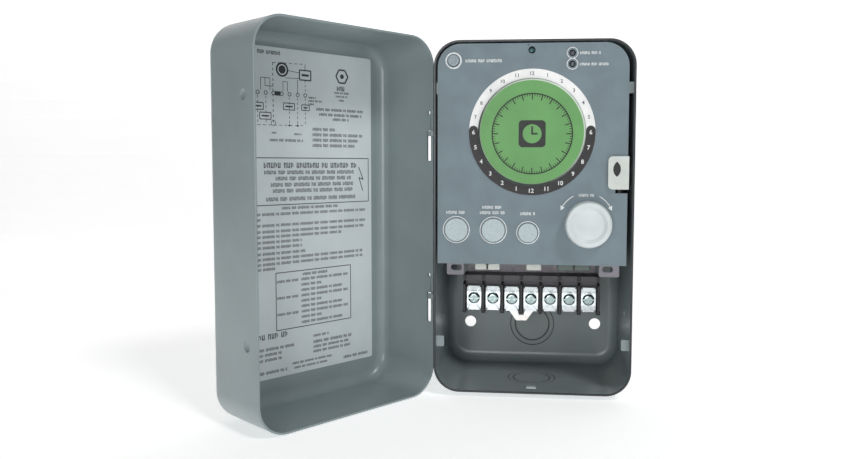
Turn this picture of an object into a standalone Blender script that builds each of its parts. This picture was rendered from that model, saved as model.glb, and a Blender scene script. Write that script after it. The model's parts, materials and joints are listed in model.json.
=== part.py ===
"""Wall-mounted enclosed 24-hour electronic time control, modelled as separate parts.

Frame: metres, +X right, +Z up, the front faces -Y.  The origin is the middle of the
flat back of the base pan, which lies in the plane Y = 0.  The cover stands open on
its left-hand vertical hinge.  Dimensions below are millimetres.
"""
import bpy
import bmesh
from math import cos, pi, radians, sin
from mathutils import Matrix, Vector

MM = 0.001
GAP = 0.3
PAST = 1.0  # how far a cutting shape runs past the wall it cuts

# Base pan (drawn sheet steel)
BASE_W = 111.0
BASE_H = 198.0
BASE_D = 72.0
SHEET = 1.2
BASE_CORNER_R = 14.5
PAN_EDGE_R = 7.0

# Cover (drawn sheet steel), fits over the outside of the base rim
COVER_CLEAR = 0.8
COVER_D = 45.0
COVER_LAP = 7.0
COVER_OPEN_DEG = 128.5
COVER_W = BASE_W + 2 * (COVER_CLEAR + SHEET)
COVER_H = BASE_H + 2 * (COVER_CLEAR + SHEET)
COVER_CORNER_R = BASE_CORNER_R + COVER_CLEAR + SHEET

# Lift-off hinge: a strip of the cover rim turns inside two curled hooks
STRIP_W = 1.5
SLOT_W = 3.4
SLOT_H = 17.0
SLOT_Z = (40.9, -51.7)
PIN_HOLE_R = 1.1
PIN_HOLE_RISE = 18.7
PIN_HOLE_IN = 3.2
HOOK_IN_R = 1.6
HOOK_OUT_R = 2.8
HOOK_H = 2.8
HOOK_RISE = 6.75
HOOK_FIRST_DEG = -20.0
HOOK_LAST_DEG = -200.0
HINGE_X = -BASE_W / 2 - COVER_CLEAR - SHEET / 2
HINGE_Y = -BASE_D + COVER_LAP - STRIP_W / 2

# Stop dimples in the free side wall of the cover
DIMPLE_Z = (63.1, -56.6)
DIMPLE_IN = 9.4
DIMPLE_R = 2.5
DIMPLE_RISE = 1.2

# Label inside the cover
LABEL_X0 = 9.8
LABEL_X1 = 97.0
LABEL_Z0 = -86.0
LABEL_Z1 = 92.3
LABEL_T = 0.2
LABEL_LIFT = 0.05
LABEL_CORNER_R = 1.5

# Openings of the base pan
MOUNT_HOLE_R = 3.6
MOUNT_HOLE_X = 40.3
MOUNT_HOLE_Z = -72.7
TOP_HOLE_Z = 73.0
KNOCKOUT_IN_R = 11.1
KNOCKOUT_OUT_R = 14.3
BACK_KNOCKOUT_Z = -73.3
BOTTOM_KNOCKOUT_Y = -41.0
LATCH_SLOT = 5.5
LATCH_SLOT_Y = -61.8
SIDE_HOLE_R = 2.0
SIDE_HOLE_Y = -43.0
SIDE_HOLE_Z = -57.5

# Inward support tabs just behind the rim
TAB_REACH = 4.5
TAB_H = 6.2
TAB_Y = -69.6
TAB_Z = (72.6, -70.3)

# Control module face panel
FACE_Y = -71.5
FACE_T = 1.6
PANEL_X0 = -53.3
PANEL_X1 = 51.7
PANEL_Z0 = -25.4
PANEL_Z1 = 97.0
PANEL_R = 13.0
HOLE_X = -1.2
HOLE_Z = 93.2
HOLE_R = 2.0
PANEL_SCREW_R = 1.7
PANEL_SCREW_SHANK_R = 1.0
PANEL_BOSS_R = 3.2
PANEL_BOSS_L = 5.4
PANEL_BORE_L = 4.4
PANEL_SCREW_DROP = 0.5
PANEL_SCREW_HEAD_H = 1.1
PANEL_SCREW_LEN = 5.5
PANEL_SCREW_EDGE = 0.4
PANEL_SCREW_SLOT_L = 2.2
PANEL_SCREW_SLOT = 0.6
LUG_LEFT = (-48.1, -38.3)
LUG_RIGHT = (36.8, 48.0)
LUG_Z = -31.8
LUG_SLOT_LEFT = (-45.7, -39.6)
LUG_SLOT_RIGHT = (38.8, 44.4)
LUG_SLOT_Z = (-29.1, -26.0)

# 24-hour dial
DIAL_X = -0.9
DIAL_Z = 48.2
DIAL_RING_R = 34.8
DIAL_DISC_R = 29.4
DIAL_RING_T = 0.35
DIAL_DISC_T = 2.2
DIAL_LIFT = 0.05
DIAL_EDGE = 1.0

# Push buttons: name, x, z, cap radius
BUTTONS = (
    ("manual", -44.4, 87.7, 3.05),
    ("set", -42.7, -6.2, 6.55),
    ("program", -21.9, -6.3, 6.55),
    ("clear", -2.6, -7.5, 5.40),
)
BUTTON_PROUD = 1.5
BUTTON_CLEAR = 0.35
BUTTON_TRAVEL = 0.8
CAP_EDGE = 0.5
FLANGE_EXTRA = 0.9
FLANGE_T = 0.8
SWITCH_W = 6.0
SWITCH_FRONT_Y = -66.4
PLUNGER_R = 1.5
PLUNGER_END_Y = -66.2
SWITCH_BORE_END_Y = PLUNGER_END_Y + BUTTON_TRAVEL + GAP

# Status lamps
LED_X = 20.9
LED_Z = (91.4, 85.4)
LED_R = 1.5
LED_FLANGE = 0.3
LED_FLANGE_T = 1.0
LED_PROUD = 0.5

# Adjusting knob on its rotary encoder
KNOB_X = 30.5
KNOB_Z = -2.4
KNOB_R = 13.0
KNOB_FRONT_Y = -79.5
KNOB_BACK_Y = -72.0
KNOB_DISH_R = 8.6
KNOB_DISH_D = 1.0
KNOB_DISH_FLAT_R = 6.6
KNOB_BORE_IN = 2.4
SHAFT_R = 3.0
SHAFT_FLAT_RISE = 2.1
ENCODER_W = 12.0
ENCODER_FRONT_Y = -68.8
ENCODER_BORE_END_Y = -64.8

# White slide latch at the right edge of the panel
LATCH_X0 = 41.0
LATCH_X1 = 52.2
LATCH_Z0 = 16.9
LATCH_Z1 = 35.1
LATCH_FRONT_Y = -73.1
LATCH_SLOT_X0 = 45.1
LATCH_SLOT_Z0 = 14.8
LATCH_SLOT_Z1 = 31.0
LATCH_CORNER_R = 2.5
LATCH_RIB_Z0 = 18.3
LATCH_RIB_Z1 = 30.6
LATCH_RIB_CLEAR = 0.4
LATCH_EDGE_CLEAR = 0.2
LATCH_FLANGE_T = 1.2
LATCH_FLANGE_EXTRA = 2.0
LATCH_GRIP_X = 45.7
LATCH_GRIP_Z = 28.0
LATCH_GRIP_HALF_W = 2.05
LATCH_GRIP_HALF_H = 4.1
LATCH_GRIP_D = 0.8

# Boards and rear housing
CONTROL_BOARD_Y = -63.0
BOARD_T = 1.6
BOARD_X0 = -46.5
BOARD_X1 = 46.0
BOARD_Z0 = -21.5
BOARD_Z1 = 92.0
MAIN_BOARD_Y = -30.0
MAIN_BOARD_Z0 = -56.0
BOARD_CORNER_R = 8.0
TONGUE_TOP_Z = -10.0
TONGUE_X0 = -39.5
TONGUE_X1 = 38.0
HOUSING_X0 = -49.2
HOUSING_X1 = 48.8
HOUSING_Z0 = -24.9
HOUSING_Z1 = 95.0
HOUSING_T = 1.8
HOUSING_FLOOR_Y = -27.9
HOUSING_FLOOR_T = 2.0
HOUSING_R = 11.0
WINDOW_W = 6.0
WINDOW_D = 4.0
WINDOW_Z0 = 13.0
WINDOW_Z1 = 33.0
LEG_R = 4.0
LEG_X = 38.0
LEG_Z = (80.0, -10.0)

# Seven-way screw terminal block
TERMINALS = 7
PITCH = 11.3
BLOCK_X = -0.75
BLOCK_Z0 = -57.0
BLOCK_Z1 = -35.5
BLOCK_FRONT_Y = -43.0
BLOCK_BACK_Y = -30.3
BARRIER_T = 1.3
BARRIER_FRONT_Y = -48.0
BARRIER_Z0 = -58.0
BARRIER_Z1 = -39.2
TERMINAL_Z = -49.3
PLATE_W = 8.7
PLATE_H = 14.4
PLATE_T = 1.0
PLATE_WING = 1.0
PLATE_BEND = 2.6
SCREW_HEAD_R = 3.5
SCREW_HEAD_H = 2.2
SCREW_SHANK_R = 1.7
SCREW_LEN = 9.0
SCREW_SLOT_W = 1.0
SCREW_SLOT_D = 1.0
SCREW_CROSS_HALF = 2.0
SCREW_EDGE = 0.6

# Link between the third and fourth terminals
LINKED = (2, 3)
LINK_T = 0.8
LINK_ARM_HALF_W = 3.3
LINK_TOP_Z = -46.3
LINK_SHOULDER_Z = -54.6
LINK_TIP_Z = -62.8
LINK_TIP_HALF_W = 3.1
LINK_NOTCH_Z = -59.2
LINK_NOTCH_HALF_W = 1.3

# Components on the main board: x range, front, z range
RELAY_1 = (-33.0, -18.7, -60.0, -30.3, -4.0)
RELAY_2 = (14.5, 33.0, -58.0, -30.3, -4.0)
FILM_CAPACITOR = (-3.5, 5.2, -60.0, -30.3, -16.0)
CORE_X = 16.0
CORE_Y = (-54.0, -32.0)
CORE_Z = (4.0, 32.0)
CORE_LIMB_W = 6.0
CORE_YOKE_H = 5.0
COIL_HALF_W = 9.6
COIL_Z = (9.4, 26.6)
COIL_R = 3.0
COIL_FRONT_Y = -58.0
CAN_X = -32.0
CAN_Z = 20.0
CAN_R = 6.3
CAN_FRONT_Y = -52.0
CELL_X = 33.0
CELL_Z = 45.0
CELL_R = 10.0
CELL_BACK_Y = -57.0
CONNECTOR_HALF_W = 20.0
CONNECTOR_Z = (78.0, 80.6)


def start_scene():
    """Remove every object that a new scene may hold."""
    for obj in list(bpy.data.objects):
        bpy.data.objects.remove(obj, do_unlink=True)


def material(name, colour, metallic=0.0, roughness=0.5):
    """Principled material with a base colour."""
    mat = bpy.data.materials.new(name)
    mat.use_nodes = True
    shader = mat.node_tree.nodes["Principled BSDF"]
    shader.inputs["Base Color"].default_value = (*colour, 1.0)
    shader.inputs["Metallic"].default_value = metallic
    shader.inputs["Roughness"].default_value = roughness
    mat.diffuse_color = (*colour, 1.0)
    return mat


def make_object(name, bm, mat, origin=(0.0, 0.0, 0.0), smooth=False):
    """Turn a bmesh in millimetres into a named object whose origin is given."""
    bmesh.ops.translate(bm, verts=bm.verts, vec=-Vector(origin))
    bmesh.ops.scale(bm, verts=bm.verts, vec=(MM, MM, MM))
    bmesh.ops.recalc_face_normals(bm, faces=bm.faces)
    mesh = bpy.data.meshes.new(name)
    bm.to_mesh(mesh)
    bm.free()
    if smooth:
        for poly in mesh.polygons:
            poly.use_smooth = True
        mesh.set_sharp_from_angle(angle=radians(35.0))
    mesh.materials.append(mat)
    obj = bpy.data.objects.new(name, mesh)
    obj.location = Vector(origin) * MM
    bpy.context.scene.collection.objects.link(obj)
    return obj


def rounded_rect(x0, x1, z0, z1, radius, steps=8):
    """Outline of a rectangle with rounded corners, counter-clockwise."""
    points = []
    corners = (
        (x1 - radius, z0 + radius, -90.0),
        (x1 - radius, z1 - radius, 0.0),
        (x0 + radius, z1 - radius, 90.0),
        (x0 + radius, z0 + radius, 180.0),
    )
    for cx, cz, start in corners:
        for i in range(steps + 1):
            angle = radians(start + 90.0 * i / steps)
            points.append((cx + radius * cos(angle), cz + radius * sin(angle)))
    return points


def circle(cx, cz, radius, steps=32):
    """Outline of a circle, counter-clockwise."""
    return [
        (cx + radius * cos(2 * pi * i / steps), cz + radius * sin(2 * pi * i / steps))
        for i in range(steps)
    ]


def bridge(bm, first, second):
    """Join two rings of vertices with a band of quads."""
    count = len(first)
    for i in range(count):
        j = (i + 1) % count
        bm.faces.new((first[i], first[j], second[j], second[i]))


def prism_y(outline, y0, y1):
    """Solid made by pulling an X-Z outline from y0 to y1."""
    bm = bmesh.new()
    near = [bm.verts.new((x, y0, z)) for x, z in outline]
    far = [bm.verts.new((x, y1, z)) for x, z in outline]
    bridge(bm, near, far)
    bm.faces.new(near)
    bm.faces.new(list(reversed(far)))
    return bm


def prism_z(outline, z0, z1):
    """Solid made by pulling an X-Y outline from z0 to z1."""
    bm = bmesh.new()
    low = [bm.verts.new((x, y, z0)) for x, y in outline]
    high = [bm.verts.new((x, y, z1)) for x, y in outline]
    bridge(bm, low, high)
    bm.faces.new(low)
    bm.faces.new(list(reversed(high)))
    return bm


def box(x0, x1, y0, y1, z0, z1):
    """Rectangular block between two corners."""
    return prism_y([(x0, z0), (x1, z0), (x1, z1), (x0, z1)], y0, y1)


def turned_y(profile, cx, cz, steps=32):
    """Solid of revolution about a line parallel to Y; profile is (radius, y) pairs.

    The profile runs from the axis at one end to the axis at the other end.
    """
    bm = bmesh.new()
    rings = []
    for radius, y in profile:
        if radius == 0.0:
            rings.append([bm.verts.new((cx, y, cz))])
        else:
            rings.append([bm.verts.new((x, y, z)) for x, z in circle(cx, cz, radius, steps)])
    for first, second in zip(rings, rings[1:]):
        if len(first) == 1:
            for i in range(steps):
                bm.faces.new((first[0], second[i], second[(i + 1) % steps]))
        elif len(second) == 1:
            for i in range(steps):
                bm.faces.new((first[i], second[0], first[(i + 1) % steps]))
        else:
            bridge(bm, first, second)
    return bm


def cylinder_y(cx, cz, radius, y0, y1, steps=32):
    """Cylinder along Y."""
    return prism_y(circle(cx, cz, radius, steps), y0, y1)


def cylinder_x(x0, x1, cy, cz, radius, steps=20):
    """Cylinder along X."""
    bm = cylinder_y(0.0, 0.0, radius, x0, x1, steps)
    turn = Matrix.Rotation(radians(-90.0), 4, "Z")
    bmesh.ops.transform(bm, matrix=turn, verts=bm.verts)
    bmesh.ops.translate(bm, verts=bm.verts, vec=(0.0, cy, cz))
    return bm


def cylinder_z(cx, cy, radius, z0, z1, steps=48):
    """Cylinder along Z."""
    outline = [
        (cx + radius * cos(2 * pi * i / steps), cy + radius * sin(2 * pi * i / steps))
        for i in range(steps)
    ]
    return prism_z(outline, z0, z1)


def combine(body, tools, operation):
    """Add or cut a list of solids with the exact solver; all are bmeshes."""
    bmesh.ops.recalc_face_normals(body, faces=body.faces)
    mesh = bpy.data.meshes.new("work")
    body.to_mesh(mesh)
    body.free()
    work = bpy.data.objects.new("work", mesh)
    bpy.context.scene.collection.objects.link(work)
    helpers = []
    for tool in tools:
        bmesh.ops.recalc_face_normals(tool, faces=tool.faces)
        tool_mesh = bpy.data.meshes.new("tool")
        tool.to_mesh(tool_mesh)
        tool.free()
        helper = bpy.data.objects.new("tool", tool_mesh)
        bpy.context.scene.collection.objects.link(helper)
        helpers.append(helper)
        modifier = work.modifiers.new("step", "BOOLEAN")
        modifier.operation = operation
        modifier.solver = "EXACT"
        modifier.object = helper
    bpy.context.view_layer.update()
    graph = bpy.context.evaluated_depsgraph_get()
    result = bmesh.new()
    result.from_mesh(work.evaluated_get(graph).to_mesh())
    work.evaluated_get(graph).to_mesh_clear()
    for obj in helpers + [work]:
        data = obj.data
        bpy.data.objects.remove(obj, do_unlink=True)
        bpy.data.meshes.remove(data)
    bmesh.ops.remove_doubles(result, verts=result.verts, dist=0.0005)
    return result


def add(body, tools):
    """Fuse solids to a body."""
    return combine(body, tools, "UNION")


def cut(body, tools):
    """Cut solids from a body."""
    return combine(body, tools, "DIFFERENCE")


def drawn_pan(x0, x1, z0, z1, rim_y, depth, corner_r, edge_r, away):
    """Drawn tray: flat bottom, rounded corners and a rounded bottom edge.

    away is +1 when the bottom lies on the +Y side of the rim, -1 otherwise.
    """
    bm = bmesh.new()
    steps = 6

    def section(inset, y):
        outline = rounded_rect(x0 + inset, x1 - inset, z0 + inset, z1 - inset,
                               corner_r - inset)
        return [bm.verts.new((x, y, z)) for x, z in outline]

    outer = [section(0.0, rim_y)]
    inner = [section(SHEET, rim_y)]
    bottom = rim_y + away * depth
    for i in range(steps + 1):
        angle = radians(90.0 * i / steps)
        rise = edge_r * (1.0 - sin(angle))
        outer.append(section(edge_r * (1.0 - cos(angle)), bottom - away * rise))
        small = edge_r - SHEET
        rise = SHEET + small * (1.0 - sin(angle))
        inset = SHEET + small * (1.0 - cos(angle))
        inner.append(section(inset, bottom - away * rise))
    for rings in (outer, inner):
        for first, second in zip(rings, rings[1:]):
            bridge(bm, first, second)
        bm.faces.new(rings[-1])
    bridge(bm, outer[0], inner[0])
    return bm


def hinge_hook(z):
    """Curled hook of the base that holds the rim strip of the cover."""
    outline = []
    first = HOOK_FIRST_DEG
    last = HOOK_LAST_DEG
    steps = 14
    for i in range(steps + 1):
        angle = radians(first + (last - first) * i / steps)
        outline.append((HINGE_X + HOOK_OUT_R * cos(angle), HINGE_Y + HOOK_OUT_R * sin(angle)))
    for i in range(steps + 1):
        angle = radians(last + (first - last) * i / steps)
        outline.append((HINGE_X + HOOK_IN_R * cos(angle), HINGE_Y + HOOK_IN_R * sin(angle)))
    return prism_z(outline, z - HOOK_H / 2, z + HOOK_H / 2)


def base_enclosure(mats):
    """Drawn base pan with its tabs, hooks, holes and knockout openings."""
    hw = BASE_W / 2
    hh = BASE_H / 2
    pan = drawn_pan(-hw, hw, -hh, hh, -BASE_D, BASE_D, BASE_CORNER_R, PAN_EDGE_R, 1.0)
    extras = [hinge_hook(z + HOOK_RISE) for z in SLOT_Z]
    wall = hw - SHEET / 2
    tip = hw - SHEET - TAB_REACH
    for z in TAB_Z:
        for x0, x1 in ((-wall, -tip), (tip, wall)):
            extras.append(box(x0, x1, TAB_Y, TAB_Y + SHEET, z - TAB_H / 2, z + TAB_H / 2))
    pan = add(pan, extras)
    holes = [cylinder_y(0.0, BACK_KNOCKOUT_Z, KNOCKOUT_OUT_R, -4.0, 2.0, 48)]
    holes.append(cylinder_z(0.0, BOTTOM_KNOCKOUT_Y, KNOCKOUT_OUT_R, -hh - 2.0, -hh + 3.0))
    for x in (-MOUNT_HOLE_X, MOUNT_HOLE_X):
        holes.append(cylinder_y(x, MOUNT_HOLE_Z, MOUNT_HOLE_R, -4.0, 2.0, 24))
    holes.append(cylinder_y(0.0, TOP_HOLE_Z, MOUNT_HOLE_R, -4.0, 2.0, 24))
    half = LATCH_SLOT / 2
    holes.append(box(-half, half, LATCH_SLOT_Y - half, LATCH_SLOT_Y + half,
                     -hh - 2.0, -hh + 3.0))
    for side in (-1.0, 1.0):
        x0 = side * hw - 2.5
        holes.append(cylinder_x(x0, x0 + 5.0, SIDE_HOLE_Y, SIDE_HOLE_Z, SIDE_HOLE_R))
    pan = cut(pan, holes)
    return make_object("base_enclosure", pan, mats["grey_paint"], smooth=True)


def knockouts(mats):
    """Punched discs and rings that close the conduit openings."""
    ring_r = KNOCKOUT_OUT_R - GAP
    hole_r = KNOCKOUT_IN_R + GAP / 2
    disc_r = KNOCKOUT_IN_R - GAP / 2
    z = BACK_KNOCKOUT_Z
    ring = cylinder_y(0.0, z, ring_r, -SHEET, 0.0, 48)
    ring = cut(ring, [cylinder_y(0.0, z, hole_r, -SHEET - PAST, PAST, 48)])
    make_object("knockout_back_ring", ring, mats["grey_paint"], smooth=True)
    disc = cylinder_y(0.0, z, disc_r, -SHEET, 0.0, 48)
    make_object("knockout_back_disc", disc, mats["grey_paint"], smooth=True)
    low = -BASE_H / 2
    y = BOTTOM_KNOCKOUT_Y
    ring = cylinder_z(0.0, y, ring_r, low, low + SHEET)
    ring = cut(ring, [cylinder_z(0.0, y, hole_r, low - PAST, low + SHEET + PAST)])
    make_object("knockout_bottom_ring", ring, mats["grey_paint"], smooth=True)
    disc = cylinder_z(0.0, y, disc_r, low, low + SHEET)
    make_object("knockout_bottom_disc", disc, mats["grey_paint"], smooth=True)


def dome_x(x_base, rise, radius, cy, cz):
    """Low dome that stands on an X plane and rises along -X."""
    steps = 6
    profile = [(0.0, 0.6), (radius, 0.6)]
    for i in range(steps + 1):
        angle = radians(90.0 * i / steps)
        profile.append((radius * cos(angle), -rise * sin(angle)))
    profile[-1] = (0.0, -rise)
    bm = turned_y(profile, 0.0, 0.0, 20)
    bmesh.ops.transform(bm, matrix=Matrix.Rotation(radians(-90.0), 4, "Z"), verts=bm.verts)
    bmesh.ops.translate(bm, verts=bm.verts, vec=(x_base, cy, cz))
    return bm


def open_cover(bm):
    """Turn cover geometry from the closed pose to the open pose about the hinge."""
    pivot = Vector((HINGE_X, HINGE_Y, 0.0))
    bmesh.ops.translate(bm, verts=bm.verts, vec=-pivot)
    turn = Matrix.Rotation(radians(-COVER_OPEN_DEG), 4, "Z")
    bmesh.ops.transform(bm, matrix=turn, verts=bm.verts)
    bmesh.ops.translate(bm, verts=bm.verts, vec=pivot)


def cover(mats):
    """Drawn cover with hinge slots, pin holes and stop dimples."""
    x0 = -COVER_W / 2
    x1 = COVER_W / 2
    hh = COVER_H / 2
    rim = -BASE_D + COVER_LAP
    tray = drawn_pan(x0, x1, -hh, hh, rim, COVER_D, COVER_CORNER_R, PAN_EDGE_R, -1.0)
    inner = x1 - SHEET
    y = rim - DIMPLE_IN
    tray = add(tray, [dome_x(inner, DIMPLE_RISE, DIMPLE_R, y, z) for z in DIMPLE_Z])
    cuts = []
    for z in SLOT_Z:
        cuts.append(box(x0 - PAST, x0 + SHEET + PAST, rim - STRIP_W - SLOT_W, rim - STRIP_W,
                        z - SLOT_H / 2, z + SLOT_H / 2))
        cuts.append(cylinder_x(x0 - PAST, x0 + SHEET + PAST, rim - PIN_HOLE_IN,
                               z + PIN_HOLE_RISE, PIN_HOLE_R, 12))
    for z in DIMPLE_Z:
        cuts.append(dome_x(x1, DIMPLE_RISE, DIMPLE_R - SHEET / 2, y, z))
    tray = cut(tray, cuts)
    open_cover(tray)
    origin = (HINGE_X, HINGE_Y, 0.0)
    make_object("cover", tray, mats["grey_paint"], origin, smooth=True)


def cover_label(mats):
    """Paper label on the inside of the cover."""
    face = -BASE_D + COVER_LAP - COVER_D + SHEET + LABEL_LIFT
    outline = rounded_rect(HINGE_X + LABEL_X0, HINGE_X + LABEL_X1, LABEL_Z0, LABEL_Z1,
                           LABEL_CORNER_R, 3)
    sheet = prism_y(outline, face, face + LABEL_T)
    open_cover(sheet)
    origin = (HINGE_X, HINGE_Y, 0.0)
    make_object("cover_label", sheet, mats["label_paper"], origin)


def panel_outline():
    """Outline of the face panel: rounded top corners and square bottom corners."""
    full = rounded_rect(PANEL_X0, PANEL_X1, PANEL_Z0 - PANEL_R, PANEL_Z1, PANEL_R)
    top = [(x, z) for x, z in full if z > PANEL_Z0]
    return [(PANEL_X0, PANEL_Z0), (PANEL_X1, PANEL_Z0)] + top


def face_panel(mats):
    """Moulded face plate with lugs, openings and a retaining notch for the latch."""
    back = FACE_Y + FACE_T
    plate = prism_y(panel_outline(), FACE_Y, back)
    lugs = []
    for x0, x1 in (LUG_LEFT, LUG_RIGHT):
        lugs.append(box(x0, x1, FACE_Y, back, LUG_Z, PANEL_Z0 + 0.6))
    plate = add(plate, lugs)
    cuts = []
    for x0, x1 in (LUG_SLOT_LEFT, LUG_SLOT_RIGHT):
        cuts.append(box(x0, x1, FACE_Y - PAST, back + PAST, LUG_SLOT_Z[0], LUG_SLOT_Z[1]))
    cuts.append(cylinder_y(HOLE_X, HOLE_Z, HOLE_R, FACE_Y - PAST, back + PAST, 20))
    for name, x, z, radius in BUTTONS:
        cuts.append(cylinder_y(x, z, radius + BUTTON_CLEAR, FACE_Y - PAST, back + PAST))
    for z in LED_Z:
        cuts.append(cylinder_y(LED_X, z, LED_R + GAP, FACE_Y - PAST, back + PAST, 20))
    cuts.append(cylinder_y(KNOB_X, KNOB_Z, SHAFT_R + 1.0, FACE_Y - PAST, back + PAST))
    cuts.append(box(LATCH_SLOT_X0, PANEL_X1 + 2.0, FACE_Y - PAST, back + PAST,
                    LATCH_SLOT_Z0, LATCH_SLOT_Z1))
    plate = cut(plate, cuts)
    make_object("face_panel", plate, mats["panel_plastic"], smooth=True)


def panel_screw(mats):
    """Small recessed screw that holds the face panel to the housing boss."""
    front = FACE_Y + PANEL_SCREW_DROP
    profile = (
        (0.0, front),
        (PANEL_SCREW_R - PANEL_SCREW_EDGE, front),
        (PANEL_SCREW_R, front + PANEL_SCREW_EDGE),
        (PANEL_SCREW_R, front + PANEL_SCREW_HEAD_H),
        (PANEL_SCREW_SHANK_R, front + PANEL_SCREW_HEAD_H),
        (PANEL_SCREW_SHANK_R, front + PANEL_SCREW_LEN),
        (0.0, front + PANEL_SCREW_LEN),
    )
    screw = turned_y(profile, HOLE_X, HOLE_Z, 20)
    long = PANEL_SCREW_SLOT_L / 2
    wide = PANEL_SCREW_SLOT / 2
    screw = cut(screw, [box(HOLE_X - long, HOLE_X + long, front - PAST, front + PANEL_SCREW_SLOT,
                            HOLE_Z - wide, HOLE_Z + wide)])
    make_object("panel_screw", screw, mats["screw_dark"], smooth=True)


def dial(mats):
    """Scale ring and raised round display of the 24-hour dial."""
    back = FACE_Y - DIAL_LIFT
    ring = cylinder_y(DIAL_X, DIAL_Z, DIAL_RING_R, back - DIAL_RING_T, back, 64)
    bore = cylinder_y(DIAL_X, DIAL_Z, DIAL_DISC_R + GAP, back - PAST, back + PAST, 64)
    ring = cut(ring, [bore])
    make_object("dial_scale_ring", ring, mats["scale_print"], smooth=True)
    front = back - DIAL_DISC_T
    profile = (
        (0.0, back),
        (DIAL_DISC_R, back),
        (DIAL_DISC_R, front + DIAL_EDGE),
        (DIAL_DISC_R - 0.3 * DIAL_EDGE, front + 0.4 * DIAL_EDGE),
        (DIAL_DISC_R - DIAL_EDGE, front),
        (0.0, front),
    )
    disc = turned_y(profile, DIAL_X, DIAL_Z, 64)
    make_object("dial_display", disc, mats["display_green"], smooth=True)


def push_buttons(mats):
    """Captive button caps with plungers, and the switches behind them."""
    panel_back = FACE_Y + FACE_T
    for name, x, z, radius in BUTTONS:
        front = FACE_Y - BUTTON_PROUD
        flange_front = panel_back + GAP
        flange_back = flange_front + FLANGE_T
        profile = (
            (0.0, front),
            (radius - CAP_EDGE, front),
            (radius, front + CAP_EDGE),
            (radius, flange_front),
            (radius + FLANGE_EXTRA, flange_front),
            (radius + FLANGE_EXTRA, flange_back),
            (PLUNGER_R, flange_back),
            (PLUNGER_R, PLUNGER_END_Y),
            (0.0, PLUNGER_END_Y),
        )
        cap = turned_y(profile, x, z)
        make_object("button_" + name, cap, mats["button_plastic"], (x, FACE_Y, z), smooth=True)
        half = SWITCH_W / 2
        body = box(x - half, x + half, SWITCH_FRONT_Y, CONTROL_BOARD_Y - GAP,
                   z - half, z + half)
        bore = cylinder_y(x, z, PLUNGER_R + GAP, SWITCH_FRONT_Y - PAST, SWITCH_BORE_END_Y, 20)
        body = cut(body, [bore])
        make_object("switch_" + name, body, mats["switch_black"])


def status_lamps(mats):
    """Two small round-nosed lamps."""
    for index, z in enumerate(LED_Z):
        back = CONTROL_BOARD_Y - GAP
        nose = FACE_Y - LED_PROUD
        flange_r = LED_R + LED_FLANGE
        flange_front = back - LED_FLANGE_T
        profile = [(0.0, back), (flange_r, back), (flange_r, flange_front), (LED_R, flange_front)]
        for i in range(5):
            angle = radians(90.0 * i / 5)
            profile.append((LED_R * cos(angle), nose + LED_R * (1.0 - sin(angle))))
        profile.append((0.0, nose))
        lamp = turned_y(profile, LED_X, z, 20)
        make_object("status_lamp_%d" % (index + 1), lamp, mats["lamp_lens"], smooth=True)


def adjust_knob(mats):
    """Turning knob with a finger dish, its shaft and the encoder body."""
    front = KNOB_FRONT_Y
    back = KNOB_BACK_Y
    profile = (
        (0.0, front + KNOB_DISH_D),
        (KNOB_DISH_FLAT_R, front + KNOB_DISH_D),
        (KNOB_DISH_R, front + 0.15),
        (KNOB_DISH_R + 0.5, front),
        (KNOB_R - 1.6, front),
        (KNOB_R - 0.5, front + 0.4),
        (KNOB_R - 0.2, front + 1.4),
        (KNOB_R, back),
        (0.0, back),
    )
    knob = turned_y(profile, KNOB_X, KNOB_Z, 48)
    bore = cylinder_y(KNOB_X, KNOB_Z, SHAFT_R + GAP, front + KNOB_BORE_IN, back + PAST, 24)
    knob = cut(knob, [bore])
    origin = (KNOB_X, FACE_Y, KNOB_Z)
    make_object("adjust_knob", knob, mats["knob_plastic"], origin, smooth=True)
    shaft = cylinder_y(KNOB_X, KNOB_Z, SHAFT_R, front + KNOB_BORE_IN + GAP,
                       ENCODER_BORE_END_Y - GAP, 24)
    wide = SHAFT_R + PAST
    flat = box(KNOB_X - wide, KNOB_X + wide, front + KNOB_BORE_IN - PAST, FACE_Y - PAST,
               KNOB_Z + SHAFT_FLAT_RISE, KNOB_Z + wide)
    shaft = cut(shaft, [flat])
    make_object("encoder_shaft", shaft, mats["plated_steel"], origin, smooth=True)
    half = ENCODER_W / 2
    body = box(KNOB_X - half, KNOB_X + half, ENCODER_FRONT_Y, CONTROL_BOARD_Y - GAP,
               KNOB_Z - half, KNOB_Z + half)
    bore = cylinder_y(KNOB_X, KNOB_Z, SHAFT_R + GAP, ENCODER_FRONT_Y - PAST,
                      ENCODER_BORE_END_Y, 24)
    body = cut(body, [bore])
    make_object("encoder_body", body, mats["switch_black"])


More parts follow.
